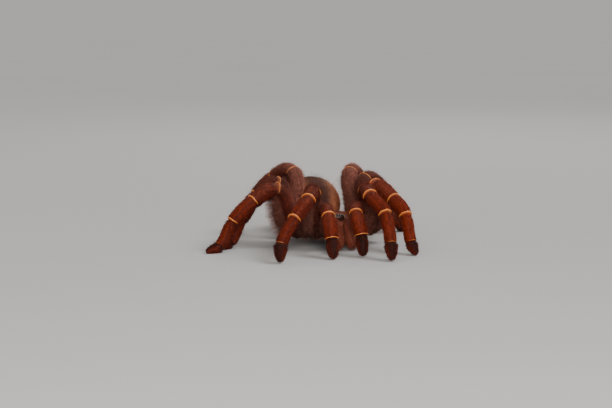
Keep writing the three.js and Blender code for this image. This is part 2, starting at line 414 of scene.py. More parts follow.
@dataclass(frozen=True)
class Arc:
    """A bent centreline between two joints, walked evenly by length.

    Attributes:
        controls: The four points that pull the curve.
    """

    controls: Array

    REACH = 0.35
    STEPS = 65

    @classmethod
    def between(cls, start: Array, leaving: Array, end: Array, arriving: Array) -> "Arc":
        """The arc between two joints, with its direction at each."""
        reach = cls.REACH * float(np.linalg.norm(end - start))
        return cls(np.array([start, start + leaving * reach, end - arriving * reach, end]))

    def _raw(self, t: Array) -> Array:
        """Points at the curve's own parameter.

        Args:
            t: Values of the parameter.

        Returns:
            The points.
        """
        t = t[:, None]
        a, b, c, d = self.controls
        return (1 - t) ** 3 * a + 3 * (1 - t) ** 2 * t * b + 3 * (1 - t) * t**2 * c + t**3 * d

    def _chords(self) -> tuple[Array, Array]:
        """Even parameters, and the lengths of the chords between them."""
        even = np.linspace(0.0, 1.0, self.STEPS)
        return even, np.linalg.norm(np.diff(self._raw(even), axis=0), axis=1)

    def at(self, place: Array) -> tuple[Array, Array]:
        """Points and unit directions at places by length.

        Args:
            place: Places by length.

        Returns:
            The points and the directions.
        """
        even, chords = self._chords()
        length = np.concatenate([[0.0], np.cumsum(chords)])
        t = np.interp(place, length / length[-1], even)
        slack = 1e-3
        ahead = self._raw(np.minimum(t + slack, 1.0))
        behind = self._raw(np.maximum(t - slack, 0.0))
        return self._raw(t), unit(ahead - behind)

    def length(self) -> float:
        """The arc's length."""
        return float(self._chords()[1].sum())


@dataclass
class Limb:
    """One leg or palp, measured from its solids.

    Along the limb, a walk counts its segments from 0 at the root.

    Attributes:
        name: The start of its nodes' names.
        segments: Its segments from the hip out.
        gap_mm: The clearance between neighbouring solids.
        rim_mm: Width of the widest pale rims.
        sides: Faces around the skin tube.
        arcs: The centreline of each segment.
        full: The full radius of each segment.
        across: The level direction to one side of the limb.
    """

    name: str
    segments: tuple[Segment, ...]
    gap_mm: float = 0.3
    rim_mm: float = 0.55
    sides: int = 24
    arcs: list[Arc] = field(default_factory=list)
    full: list[float] = field(default_factory=list)
    across: Array = field(default_factory=lambda: np.zeros(3))

    ROOT_SHARE = (0.28, 0.47, 0.88)
    TRUNK_HEIGHT_MM = 9.0
    RING_PLACES = (0.0, 0.02, 0.05, 0.1, 0.17, 0.25, 0.34, 0.44, 0.54, 0.64, 0.73, 0.81, 0.87, 0.91,
                   0.94, 0.96, 0.975, 0.988)
    HIP_PLACES = (0.05, 0.3, 0.55, 0.75, 0.88, 0.95)
    STREAKS = ((11, 0.09), (17, 0.11), (29, 0.13))
    # Painted light: some legs are made lighter or darker for how much light reaches them.
    PAINTED_LIGHT_TONE_SHIFTS = {"leg_L2": 0.16, "leg_R1": -0.08, "leg_L1": 0.03}
    # Share of pinkish painted sheen on the tops of each pair's upper segments, most on the hind
    # pair.
    PAINTED_SHEEN_SHARES = {"3": 0.36, "4": 1.0}
    RAGGED_RATES = (31.0, 52.7, 77.3, 103.9)

    def __post_init__(self) -> None:
        """Measures joints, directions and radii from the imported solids."""
        half_gap = self.gap_mm / 2.0 * MM
        joints: list[Array] = []
        headings: list[Array] = []
        near = TRUNK.place([0.0, 0.0, self.TRUNK_HEIGHT_MM])
        for segment in self.segments[1:]:
            faces = end_faces(self.node(segment), 1 if segment.is_foot() else 2)
            faces.sort(key=lambda face: float(np.linalg.norm(face.centre - near)))
            joints.append(faces[0].centre + faces[0].normal * half_gap)
            headings.append(-faces[0].normal)
            near = faces[-1].centre
            self.full.append(faces[-1].radius / SHAPES[segment].end_share)
        joints.append(self._toe(joints[-1]))
        headings.append(unit(joints[-1] - joints[-2]))
        hip = joints[0]
        root = TRUNK.origin + (hip - TRUNK.origin) * np.array(self.ROOT_SHARE)
        joints.insert(0, root)
        headings.insert(0, unit(hip - root))
        self.full.insert(0, self.full[0] * 0.9)
        ends = zip(joints, headings, joints[1:], headings[1:])
        self.arcs = [Arc.between(*end) for end in ends]
        stride = unit((joints[-1] - joints[1]) * np.array([1.0, 1.0, 0.0]))
        self.across = np.array([-stride[1], stride[0], 0.0])

    def _toe(self, ankle: Array) -> Array:
        """The middle of the blunt toe, just above the floor, from the joint before it.

        Args:
            ankle: The joint before it.

        Returns:
            The toe's middle.
        """
        corners = corners_of(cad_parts[self.node(self.segments[-1])].data)
        reach = np.linalg.norm(corners - ankle, axis=1)
        tip = corners[reach > reach.max() - 0.5 * MM].mean(axis=0)
        return np.array([tip[0], tip[1], max(tip[2], 0.9 * MM)])

    def node(self, segment: Segment) -> str:
        """The name of a segment's CAD node."""
        return f"{self.name}_{segment.value.split()[-1]}"

    def is_rear(self) -> bool:
        """Whether the limb is one of the two hind pairs."""
        return self.name[-1] in "34"

    def _index(self, walk: Array) -> Array:
        """The segment's number at each walk."""
        return np.minimum(walk.astype(int), len(self.arcs) - 1)

    def centre(self, walk: Array) -> tuple[Array, Array]:
        """Points and unit directions on the centreline.

        Args:
            walk: Walks.

        Returns:
            The points and the directions.
        """
        index = self._index(walk)
        points = np.empty((len(walk), 3))
        headings = np.empty((len(walk), 3))
        for k, arc in enumerate(self.arcs):
            here = index == k
            if here.any():
                points[here], headings[here] = arc.at(walk[here] - k)
        return points, headings

    def radius(self, walk: Array) -> Array:
        """Skin radius at each walk.

        Args:
            walk: Walks.

        Returns:
            The radii.
        """
        index = self._index(walk)
        result = np.empty(len(walk))
        for k, segment in enumerate(self.segments):
            here = index == k
            shape = SHAPES[segment]
            bare = self.full[k] - shape.coat_mm * MM
            result[here] = bare * step_along(shape.outline, walk[here] - k)
        return result

    def shell(self, walk: Array, around: Array, lift: float | Array = 0.0) -> Array:
        """Points on the skin, with the back of the limb at a quarter turn.

        Args:
            walk: Places along.
            around: Places around.
            lift: Height over the skin.

        Returns:
            The points.
        """
        points, headings = self.centre(walk)
        dorsal = unit(np.cross(headings, self.across))
        side = np.cross(headings, dorsal)
        angle = (around * math.tau)[:, None]
        reach = (self.radius(walk) + lift)[:, None]
        skin = points + reach * (np.cos(angle) * side * 0.97 + np.sin(angle) * dorsal)
        skin[:, 2] = np.maximum(skin[:, 2], SOLE)
        return skin

    def part(self, k: int, low: float = 1e-6, high: float = 1 - 1e-6) -> tuple[Surface, Marking]:
        """The surface and the markings of one segment.

        Args:
            k: The segment's number.
            low: Where they start along it.
            high: Where they end.

        Returns:
            Both functions.
        """
        return (
            lambda along, around: self.shell(k + np.clip(along, low, high), around),
            lambda along, around: self.markings(k + np.clip(along, low, high), around),
        )

    def walk_places(self) -> Array:
        """Ring places along the whole limb, closest together at the joints."""
        places = [k + p for k in range(1, len(self.arcs)) for p in self.RING_PLACES]
        return np.array([*self.HIP_PLACES, *places, len(self.arcs) - 1e-6])

    def skin(self) -> BMesh:
        """The limb's skin as one closed tube."""
        places = self.walk_places()
        last = len(places) - 1
        return closed_tube(
            self.sides, last + 1, lambda a, b: self.shell(places[np.round(a * last).astype(int)], b)
        )

    def markings(self, walk: Array, around: Array) -> Marks:
        """Tone, pale and bloom at each place.

        Args:
            walk: Places along.
            around: Places around.

        Returns:
            The values by name.
        """
        index = self._index(walk)
        local = walk - index
        angle = around * math.tau
        dorsal = np.sin(angle)
        base = np.array([SHAPES[s].tone for s in self.segments])[index]
        seed = sum(map(ord, self.name))
        streak = np.zeros(len(walk))
        for k, share in self.STREAKS:
            drift = 0.5 * np.sin(walk * 2.3 + seed + k)
            streak += share * np.sin(k * angle + seed * 1.7 + k * index + drift)
        is_foot = index == len(self.arcs) - 1
        pair = self.name[-1]
        # The per-leg shift at the end is painted light.
        tone = base + 0.12 * dorsal + streak + self.PAINTED_LIGHT_TONE_SHIFTS.get(self.name, 0.0)
        tone += 0.12 * smooth_step(0.0, 0.25, local) - 0.16 * smooth_step(0.7, 1.0, local)
        # Feet are dark, darker on top and near the ankle as painted shade, and lighter at the sides
        # and below.
        below = 1.0 - smooth_step(0.45, 0.95, dorsal)
        sole = 0.17 + 0.42 * below * smooth_step(0.0, 0.3, local) + 0.4 * streak
        # The third pair's upper segments are darkened as painted shade, since they sit behind the
        # others.
        tone = np.where(is_foot, sole, tone - (0.22 if pair == "3" else 0.0) * (walk < 3.0))
        length = np.array([arc.length() for arc in self.arcs])[index] / MM
        rim = 1.0 - smooth_step(0.3, 0.75, (1.0 - local) * length)
        rim = rim * smooth_step(-0.2, 0.5, dorsal)
        plain = (index == 0) | (index == len(self.arcs) - 2) | is_foot
        pale = np.where(plain, 0.0, np.where(index == 1, 0.35, 0.8) * rim)
        # A pinkish painted sheen on the tops of the upper segments.
        reach = smooth_step(0.9, 1.2, walk) * (1.0 - smooth_step(2.3, 3.9, walk))
        share = 0.72 * self.PAINTED_SHEEN_SHARES.get(pair, 0.3)
        bloom = 0.03 + share * reach * smooth_step(-0.4, 0.9, dorsal)
        under = np.where(index == 1, 0.7 * (1.0 - smooth_step(-0.8, -0.45, dorsal)), 0.0)
        return {"tone": np.clip(tone, 0.0, 1.0), "pale": pale, "bloom": np.maximum(bloom, under)}

    def rims(self) -> list[BMesh]:
        """The bare pale lips on the back of each joint past the hip, as crescents."""
        made = []
        for k in range(1, len(self.arcs) - 1):
            segment = self.segments[k]
            ankle = segment is Segment.METATARSUS
            palp_end = segment is Segment.TIBIA and k == len(self.arcs) - 2
            reach = 0.13 if ankle else (0.27 if k == 1 else 0.31)
            share = 0.28 if ankle else (0.65 if k == 1 or palp_end else 1.0)
            half = self.rim_mm / 2.0 * share * MM
            back = half / self.arcs[k].length()
            lift = SHAPES[segment].coat_mm * (0.3 if ankle or k == 1 else 0.5) * MM

            def surface(along: Array, around: Array) -> Array:
                """Points of one ragged crescent.

                Args:
                    along: Places along.
                    around: Places around.

                Returns:
                    The points.
                """
                turn = 0.25 + (along - 0.5) * 2.0 * reach
                ragged = sum(0.065 * np.sin(along * rate + k * rate) for rate in self.RAGGED_RATES)
                walk = k + 0.985 - back * (1.0 + 0.5 * np.sin(along * 19.0 + k) * 0.6 + ragged)
                seat = self.shell(walk, turn, lift * (0.75 + ragged))
                centre, heading = self.centre(walk)
                outward = unit(seat - centre)
                taper = np.sqrt(np.clip(1.0 - (2.0 * along - 1.0) ** 2, 0.0, 1.0))
                width = (taper * (0.85 + ragged))[:, None]
                angle = (around * math.tau)[:, None]
                loop = np.cos(angle) * heading * half + np.sin(angle) * outward * lift
                return seat + width * loop

            made.append(closed_tube(8, 56, surface))
        return made

    def claws(self) -> list[BMesh]:
        """The small hooks at the toe: two on a leg and one on a palp."""
        toe, heading = self.centre(np.array([len(self.arcs) - 1e-6]))
        dorsal = unit(np.cross(heading, self.across))[0]
        made = []
        for offset in (-0.32, 0.32) if Segment.METATARSUS in self.segments else (0.0,):
            start = toe[0] - heading[0] * 0.7 * MM + dorsal * 0.5 * MM + self.across * offset * MM

            def surface(along: Array, around: Array) -> Array:
                """Points of one hook.

                Args:
                    along: Places along.
                    around: Places around.

                Returns:
                    The points.
                """
                bend = along[:, None] * 1.9
                curl = np.sin(bend) * heading[0] + (np.cos(bend) - 1.0) * dorsal * 0.8
                angle = (around * math.tau)[:, None]
                thick = (0.2 * MM * (1.0 - 0.93 * along**1.5))[:, None]
                loop = np.cos(angle) * self.across + np.sin(angle) * dorsal
                return start + 0.75 * MM * curl + thick * loop

            made.append(closed_tube(8, 9, surface))
        return made


# --- Trunk ---


@dataclass(frozen=True)
class Loft:
    """A rounded closed form along a line of the trunk.

    Attributes:
        stations: Rows of place, half width, half height and middle height, in mm.
        coat_mm: Depth of the coat that is taken off the solid's sizes.
        origin: Where the line starts, in the trunk's mm.
        pitch: How far the line is turned down from straight back, in degrees.
        forward: Whether the line runs forwards.
        squareness: 1 for an ellipse, less for a fuller section.
        floor: Lowest height, where the underside is cut flat.
        rings: Rings of the skin.
        sides: Faces around the skin.
    """

    stations: tuple[tuple[float, float, float, float], ...]
    coat_mm: float
    origin: Point = (0.0, 0.0, 0.0)
    pitch: float = 0.0
    forward: bool = False
    squareness: float = 1.0
    floor: Optional[float] = None
    rings: int = 48
    sides: int = 48

    def knots(self) -> Array:
        """The stations less the coat, with a closing point at each end."""
        rows = np.array(self.stations, float)
        rows[:, 1:3] = np.maximum(rows[:, 1:3] - self.coat_mm, 0.3)
        first, last = rows[0].copy(), rows[-1].copy()
        first[0] += self.coat_mm * 0.5 - rows[0, 1] * 0.18
        last[0] += rows[-1, 1] * 0.18 - self.coat_mm * 0.5
        first[1:3] = last[1:3] = 0.0
        return np.vstack([first, rows, last])

    def relief(self, points: Array) -> Array:
        """Adds fine shape to the trunk's points, in mm; none on a plain loft."""
        return points

    def surface(self, along: Array, around: Array) -> Array:
        """Points of the skin in the row frame.

        Args:
            along: Places along the line.
            around: Places around, the top at a quarter turn.

        Returns:
            The points.
        """
        place, width, height, middle = through(self.knots(), along).T
        angle = around * math.tau
        cos, sin = np.cos(angle), np.sin(angle)
        x = np.abs(width) * np.sign(cos) * np.abs(cos) ** self.squareness
        z = middle + np.abs(height) * np.sign(sin) * np.abs(sin) ** self.squareness
        if self.floor is not None:
            z = np.where(z < self.floor, self.floor + (z - self.floor) * 0.12, z)
        x, y, z = self.relief(np.stack([x, place, z], axis=1)).T
        turn = math.radians(self.pitch)
        cos, sin = math.cos(turn), math.sin(turn)
        y, z = y * cos + z * sin, -y * sin + z * cos
        if self.forward:
            x, y = -x, -y
        return TRUNK.place(np.stack([x, y, z], axis=1) + np.array(self.origin))

    def skin(self) -> BMesh:
        """The loft's skin as a closed form."""
        return closed_tube(self.sides, self.rings, lambda a, b: self.surface(0.004 + 0.992 * a, b))


@dataclass(frozen=True)
class Shield(Loft):
    """The head shield, with its central pit and the grooves that run out from it.

    Attributes:
        pit_y: Place of the pit along the shield.
        grooves: Grooves as (bearing from straight ahead in degrees, depth, length), in mm.
    """

    pit_y: float = 3.2
    grooves: tuple[Point, ...] = (
        (27, 0.6, 15.0), (62, 0.32, 10.5), (93, 0.34, 10.5), (122, 0.34, 10.0), (152, 0.3, 9.0),
    )

    def relief(self, points: Array) -> Array:
        """Sinks the pit and the grooves into the top, and lifts the head between them.

        Args:
            points: The points.

        Returns:
            The lowered and lifted points.
        """
        x, y, z = points.T
        away = np.hypot(x, y - self.pit_y)
        bearing = np.degrees(np.arctan2(np.abs(x), self.pit_y - y))
        sunk = 1.0 * np.exp(-(x / 1.7) ** 2 - ((y - self.pit_y) / 0.7) ** 2)
        for angle, depth, length in self.grooves:
            off = away * np.sin(np.radians(np.clip(bearing - angle, -90.0, 90.0)))
            fade = smooth_step(0.6, 2.5, away) * (1.0 - smooth_step(length * 0.75, length, away))
            sunk += depth * np.exp(-((off / 0.75) ** 2)) * fade
        head = 0.5 * (1.0 - smooth_step(18.0, 30.0, bearing)) * smooth_step(3.0, 7.0, away)
        top = smooth_step(11.0, 12.6, z)
        return np.stack([x, y, z + top * (head - sunk)], axis=1)


SHIELD = Shield(
    stations=(
        (-16.9, 5.6, 1.8, 12.0), (-15.6, 7.7, 3.2, 11.8), (-12.0, 9.2, 4.6, 11.6),
        (-6.0, 11.4, 5.6, 11.3), (1.0, 13.8, 5.5, 11.0), (8.0, 13.2, 4.8, 10.8),
        (13.2, 9.9, 3.6, 10.8), (15.9, 5.4, 2.2, 10.8),
    ),
    coat_mm=0.5, floor=10.1, squareness=0.92, rings=84, sides=96,
)
STERNUM = Loft(
    stations=(
        (-13.0, 3.4, 1.6, 7.8), (-8.0, 6.6, 2.8, 7.9), (2.0, 8.2, 3.2, 8.1), (9.5, 6.0, 2.6, 8.6),
        (13.0, 3.0, 1.6, 8.8),
    ),
    coat_mm=0.4, rings=24, sides=32,
)
ABDOMEN = Loft(
    stations=(
        (17.4, 4.6, 4.4, 12.0), (19.4, 8.5, 7.7, 13.2), (25.0, 12.2, 11.0, 15.4),
        (33.0, 14.1, 12.7, 16.7), (41.0, 14.4, 12.9, 16.9), (49.0, 12.9, 11.6, 16.0),
        (55.2, 8.6, 8.0, 14.6), (58.2, 3.8, 3.6, 13.4),
    ),
    coat_mm=0.75, rings=72, sides=72,
)
PEDICEL = Loft(
    stations=((12.0, 2.4, 2.4, 10.8), (16.0, 2.1, 2.1, 11.3), (21.0, 2.6, 2.6, 12.2)),
    coat_mm=0.3, rings=12, sides=24,
)
JAWS = tuple(
    Loft(
        stations=(
            (0.0, 2.6, 3.0, 0.0), (1.6, 3.5, 4.4, 0.4), (5.5, 3.85, 5.4, 0.6),
            (10.0, 3.75, 4.6, 0.4), (13.0, 3.1, 3.3, 0.3), (14.3, 2.1, 2.2, 0.2),
        ),
        coat_mm=0.4, origin=(side * 3.8, -14.6, 12.2), pitch=43.0, forward=True,
        squareness=0.9, rings=40, sides=36,
    )
    for side in LEFT_AND_RIGHT
)


@dataclass(frozen=True)
class Horn:
    """A tapered bent tube on the trunk, such as a fang or a spinneret.

    Its methods take a side, which is 1 for the left and -1 for the right.

    Attributes:
        points_mm: Its spine in the trunk's mm, on the left side.
        outline: Its radius along it in mm, as (place, radius) pairs.
        rings: Rings along it.
        sides: Faces around it.
    """

    points_mm: tuple[Point, ...]
    outline: Outline
    rings: int = 28
    sides: int = 18

    def spine(self, along: Array, side: float) -> Array:
        """Points of the spine in the row frame.

        Args:
            along: Places along.
            side: 1 for the left and -1 for the right.

        Returns:
            The points.
        """
        knots = np.array(self.points_mm, float) * np.array([side, 1.0, 1.0])
        rows = np.vstack([2 * knots[0] - knots[1], knots, 2 * knots[-1] - knots[-2]])
        spot = np.clip(along, 0.0, 1.0) * (len(knots) - 1)
        index = np.minimum(spot.astype(int), len(knots) - 2)
        t = (spot - index)[:, None]
        p0, p1, p2, p3 = (rows[index + k] for k in range(4))
        square, cube = 2 * p0 - 5 * p1 + 4 * p2 - p3, 3 * p1 - p0 - 3 * p2 + p3
        bend = 2 * p1 + (p2 - p0) * t + square * t**2 + cube * t**3
        return TRUNK.place(bend / 2.0)

    def surface(self, side: float) -> Surface:
        """The surface function of the horn on one side of the body.

        Args:
            side: 1 for the left and -1 for the right.

        Returns:
            The surface function.
        """

        def points(along: Array, around: Array) -> Array:
            """Points of the horn's surface.

            Args:
                along: Places along.
                around: Places around.

            Returns:
                The points.
            """
            centre = self.spine(along, side)
            ahead, behind = np.minimum(along + 0.01, 1.0), np.maximum(along - 0.01, 0.0)
            heading = unit(self.spine(ahead, side) - self.spine(behind, side))
            up = unit(np.cross(np.array([1.0, 0.0, 0.0]), heading))
            across = np.cross(heading, up)
            angle = (around * math.tau)[:, None]
            reach = step_along(self.outline, along)[:, None] * MM
            return centre + reach * (np.cos(angle) * across + np.sin(angle) * up)

        return points

    def mesh(self, side: float) -> BMesh:
        """The horn's closed mesh on one side of the body."""
        return closed_tube(self.sides, self.rings, self.surface(side))


FANG = Horn(
    points_mm=((3.4, -22.6, 5.4), (3.7, -22.8, 3.0), (3.5, -20.0, 2.3), (3.1, -17.0, 3.6)),
    outline=((0, 1.15), (0.3, 1.1), (0.6, 0.8), (0.85, 0.42), (0.97, 0.14), (1, 0.04)),
)
SPINNERET = Horn(
    points_mm=((1.9, 54.5, 11.2), (2.6, 58.6, 9.9), (3.2, 62.3, 9.8), (3.5, 65.6, 11.0)),
    outline=(
        (0, 1.1), (0.33, 1.12), (0.37, 0.92), (0.4, 1.08), (0.66, 0.95), (0.7, 0.72), (0.74, 0.85),
        (0.93, 0.5), (1, 0.12),
    ),
    rings=40,
)


# --- Finishes ---


def srgb(red: int, green: int, blue: int) -> Colour:
    """A colour from 0 to 255 values, as Blender's linear colour with alpha.

    Args:
        red: Red share.
        green: Green share.
        blue: Blue share.

    Returns:
        The colour.
    """
    shares = (red / 255, green / 255, blue / 255)
    linear = [c / 12.92 if c <= 0.04045 else ((c + 0.055) / 1.055) ** 2.4 for c in shares]
    return (*linear, 1.0)


class Graph:
    """A short way to add and link nodes of one tree."""

    def __init__(self, tree: bpy.types.NodeTree) -> None:
        """Keeps the tree to build in."""
        self.tree = tree

    def feed(self, node: bpy.types.Node, values: dict) -> None:
        """Links or sets a node's inputs.

        Args:
            node: The node.
            values: Input names or numbers, each with a socket to link or a value to set.
        """
        for key, value in values.items():
            if isinstance(value, bpy.types.NodeSocket):
                self.tree.links.new(value, node.inputs[key])
            else:
                node.inputs[key].default_value = value

    def add(self, kind: str, values: Optional[dict] = None, **settings: object) -> bpy.types.Node:
        """Adds a node.

        Args:
            kind: The node's type name.
            values: Its inputs, as feed takes them.
            **settings: Its properties.

        Returns:
            The node.
        """
        node = self.tree.nodes.new(kind)
        for key, value in settings.items():
            setattr(node, key, value)
        self.feed(node, values or {})
        return node

    def attribute(self, name: str) -> bpy.types.NodeSocket:
        """The value socket of a named attribute."""
        return self.add("ShaderNodeAttribute", attribute_name=name).outputs["Fac"]

    def place(self) -> bpy.types.NodeSocket:
        """The socket of the object's own coordinates."""
        return self.add("ShaderNodeTexCoord").outputs["Object"]

    def noise(self, place: object, scale: float, detail: float = 2.0) -> bpy.types.NodeSocket:
        """The value socket of a cloudy pattern."""
        values = {"Vector": place, "Scale": scale, "Detail": detail}
        return self.add("ShaderNodeTexNoise", values).outputs["Fac"]

    def maths(
        self, operation: str, first: object, second: object, clamp: bool = False
    ) -> bpy.types.NodeSocket:
        """The result socket of a Math node on two values or sockets."""
        values = {0: first, 1: second}
        return self.add("ShaderNodeMath", values, operation=operation, use_clamp=clamp).outputs[0]

    def mix(
        self, factor: object, first: object, second: object, blend: str = "MIX"
    ) -> bpy.types.NodeSocket:
        """The colour socket of a Mix node on two colours or sockets.

        Args:
            factor: Share of the second colour.
            first: The first colour.
            second: The second colour.
            blend: How they are blended.

        Returns:
            The mixed colour.
        """
        node = self.add("ShaderNodeMix", data_type="RGBA", blend_type=blend)
        self.feed(node, {0: factor, 6: first, 7: second})
        return node.outputs[2]


def build_group(
    name: str, inputs: Sequence[tuple[str, object]], outputs: dict[str, str]
) -> tuple[Graph, bpy.types.NodeOutputs, bpy.types.Node]:
    """An empty shader node group with named sockets.

    Args:
        name: The group's name.
        inputs: Names and default values; a number makes a value socket, others a colour.
        outputs: Names and socket types.

    Returns:
        The group's graph, the sockets that it is given and its output node.
    """
    tree = bpy.data.node_groups.new(name, "ShaderNodeTree")
    for label, default in inputs:
        kind = "NodeSocketFloat" if isinstance(default, float) else "NodeSocketColor"
        socket = tree.interface.new_socket(name=label, in_out="INPUT", socket_type=kind)
        socket.default_value = default
    for label, kind in outputs.items():
        tree.interface.new_socket(name=label, in_out="OUTPUT", socket_type=kind)
    graph = Graph(tree)
    return graph, graph.add("NodeGroupInput").outputs, graph.add("NodeGroupOutput")


MARKS = ("tone", "pale", "bloom", "shade")
PALETTE_SOCKETS = ("Deep", "Rust", "Bright", "Pale Colour", "Bloom Colour")


@cache
def markings_group() -> bpy.types.NodeTree:
    """The animal's markings: colour from tone, pale, bloom and shade, on skin and on hair."""
    black, white = (0, 0, 0, 1), (1, 1, 1, 1)
    inputs = [*zip(("Tone", "Pale", "Bloom", "Shade"), (0.5, 0.0, 0.0, 1.0))]
    inputs += zip(PALETTE_SOCKETS, (black, black, black, white, white))
    g, given, out = build_group("Markings", inputs, {"Colour": "NodeSocketColor"})
    patch = g.noise(g.place(), 420.0)
    wander = g.maths("MULTIPLY", g.maths("SUBTRACT", patch, 0.5), 0.35)
    tone = g.maths("ADD", given["Tone"], wander, clamp=True)
    lower = g.mix(g.maths("MULTIPLY", tone, 2.0, clamp=True), given["Deep"], given["Rust"])
    upper = g.maths("MULTIPLY", g.maths("SUBTRACT", tone, 0.5), 2.0, clamp=True)
    base = g.mix(upper, lower, given["Bright"])
    # Laid over the base: a dusty tint, which is also painted sheen and painted shade, then the pale
    # colour.
    for name in ("Bloom", "Pale"):
        base = g.mix(given[name], base, given[f"{name} Colour"])
    shade = g.add("ShaderNodeCombineColor", {k: given["Shade"] for k in range(3)})
    g.feed(out, {"Colour": g.mix(1.0, base, shade.outputs[0], "MULTIPLY")})
    return g.tree


@cache
def grain_group() -> bpy.types.NodeTree:
    """Fine relief of bare cuticle: a height and a mask of worn high spots."""
    outputs = {"Height": "NodeSocketFloat", "Mask": "NodeSocketFloat"}
    g, given, out = build_group("Cuticle Grain", [("Scale", 2500.0)], outputs)
    place = g.place()
    cells = g.add("ShaderNodeTexVoronoi", {"Vector": place, "Scale": given["Scale"]})
    cloud = g.noise(place, 900.0, 3.0)
    height = g.maths("ADD", cells.outputs["Distance"], g.maths("MULTIPLY", cloud, 0.8))
    g.feed(out, {"Height": height, "Mask": cloud})
    return g.tree


@dataclass(frozen=True)
class Palette:
    """The colours of one region's skin and coat, in the order of the markings' sockets.

    Attributes:
        deep: Lowest tone.
        rust: Middle tone.
        bright: Highest tone.
        pale: Colour of the bare lips and plates.
        bloom: Dusty colour laid over them; painted sheen on hind legs, painted shade on the
            abdomen.
    """

    deep: Colour = srgb(30, 9, 8)
    rust: Colour = srgb(95, 25, 7)
    bright: Colour = srgb(152, 48, 9)
    pale: Colour = srgb(238, 128, 66)
    # The pinkish tint of the pale fringe, also a painted sheen on the tops of the hind legs.
    bloom: Colour = srgb(164, 104, 88)


LEGS = Palette()
UNDER = Palette(srgb(30, 15, 13), srgb(86, 40, 26), srgb(140, 70, 40))
HEAD = Palette(srgb(52, 22, 16), srgb(128, 60, 40), srgb(206, 128, 98))
FACE = Palette(srgb(80, 35, 29), srgb(158, 80, 62), srgb(204, 124, 96))
# The belly's last colour is dark: laid over the abdomen's back, it paints shade there.
BELLY = Palette(
    srgb(46, 19, 15), srgb(208, 110, 70), srgb(252, 168, 124), srgb(222, 160, 118), srgb(54, 24, 22)
)


@dataclass(frozen=True)
class Finish:
    """A material for one of the record's slots.

    Attributes:
        name: The material's name.
        slot: The record's slot; not used.
    """

    name: str
    slot: str

    def paint(self, g: Graph, shader: bpy.types.Node) -> None:
        """Builds the finish on its material's graph and shader."""
        raise NotImplementedError

    def grained(
        self, g: Graph, shader: bpy.types.Node, strength: float, depth_mm: float
    ) -> bpy.types.Node:
        """Adds the cuticle's grain as relief.

        Args:
            g: The material's graph.
            shader: Its shader.
            strength: Strength of the relief.
            depth_mm: Depth of the relief.

        Returns:
            The grain's node.
        """
        grain = g.add("ShaderNodeGroup", node_tree=grain_group())
        height = grain.outputs["Height"]
        values = {"Strength": strength, "Distance": depth_mm * MM, "Height": height}
        g.feed(shader, {"Normal": g.add("ShaderNodeBump", values).outputs["Normal"]})
        return grain

    @cache
    def material(self) -> bpy.types.Material:
        """The material, built once."""
        made = bpy.data.materials.new(self.name)
        made.use_nodes = True
        self.paint(Graph(made.node_tree), made.node_tree.nodes["Principled BSDF"])
        return made


@dataclass(frozen=True)
class HairFinish(Finish):
    """The finish of one coat or of the skin beneath it.

    Attributes:
        palette: Its colours.
        roughness: Roughness.
        sheen: Soft sheen of the pile.
        bare: Whether it is skin, which gets the cuticle's grain.
        regions: Further palettes, taken where the skin's region value is 1, 2 and so on.
    """

    palette: Palette
    roughness: float = 0.6
    sheen: float = 0.03
    bare: bool = False
    regions: tuple[Palette, ...] = ()

    def marked(self, g: Graph, palette: Palette) -> bpy.types.NodeSocket:
        """The socket of the markings' colour in one palette.

        Args:
            g: The material's graph.
            palette: The palette.

        Returns:
            The colour's socket.
        """
        marks = g.add("ShaderNodeGroup", node_tree=markings_group())
        g.feed(marks, {name.title(): g.attribute(name) for name in MARKS})
        g.feed(marks, dict(zip(PALETTE_SOCKETS, astuple(palette))))
        return marks.outputs["Colour"]

    def paint(self, g: Graph, shader: bpy.types.Node) -> None:
        """Builds the finish on its material's graph and shader.

        Args:
            g: The material's graph.
            shader: Its shader.
        """
        colour = self.marked(g, self.palette)
        for number, palette in enumerate(self.regions, 1):
            here = g.maths("GREATER_THAN", g.attribute("region"), number - 0.5)
            colour = g.mix(here, colour, self.marked(g, palette))
        values = {
            "Base Color": colour,
            "Roughness": self.roughness,
            "Sheen Weight": self.sheen,
            "Sheen Roughness": 0.45,
            "Sheen Tint": (1.0, 0.75, 0.6, 1.0),
            "Specular IOR Level": 0.15,
        }
        g.feed(shader, values)
        if self.bare:
            self.grained(g, shader, 0.5, 0.05)


@dataclass(frozen=True)
class HornFinish(Finish):
    """A polished hard finish with a faint cloudy change of colour.

    Attributes:
        dark: Its darker colour.
        light: Its lighter colour.
        roughness: Roughness.
        coat: Clear gloss over it.
    """

    dark: Colour
    light: Colour
    roughness: float
    coat: float

    def paint(self, g: Graph, shader: bpy.types.Node) -> None:
        """Builds the finish on its material's graph and shader.

        Args:
            g: The material's graph.
            shader: Its shader.
        """
        grain = self.grained(g, shader, 0.12, 0.02)
        g.feed(grain, {"Scale": 1500.0})
        values = {
            "Base Color": g.mix(grain.outputs["Mask"], self.dark, self.light),
            "Roughness": self.roughness,
            "Coat Weight": self.coat,
            "Coat Roughness": 0.05,
        }
        g.feed(shader, values)


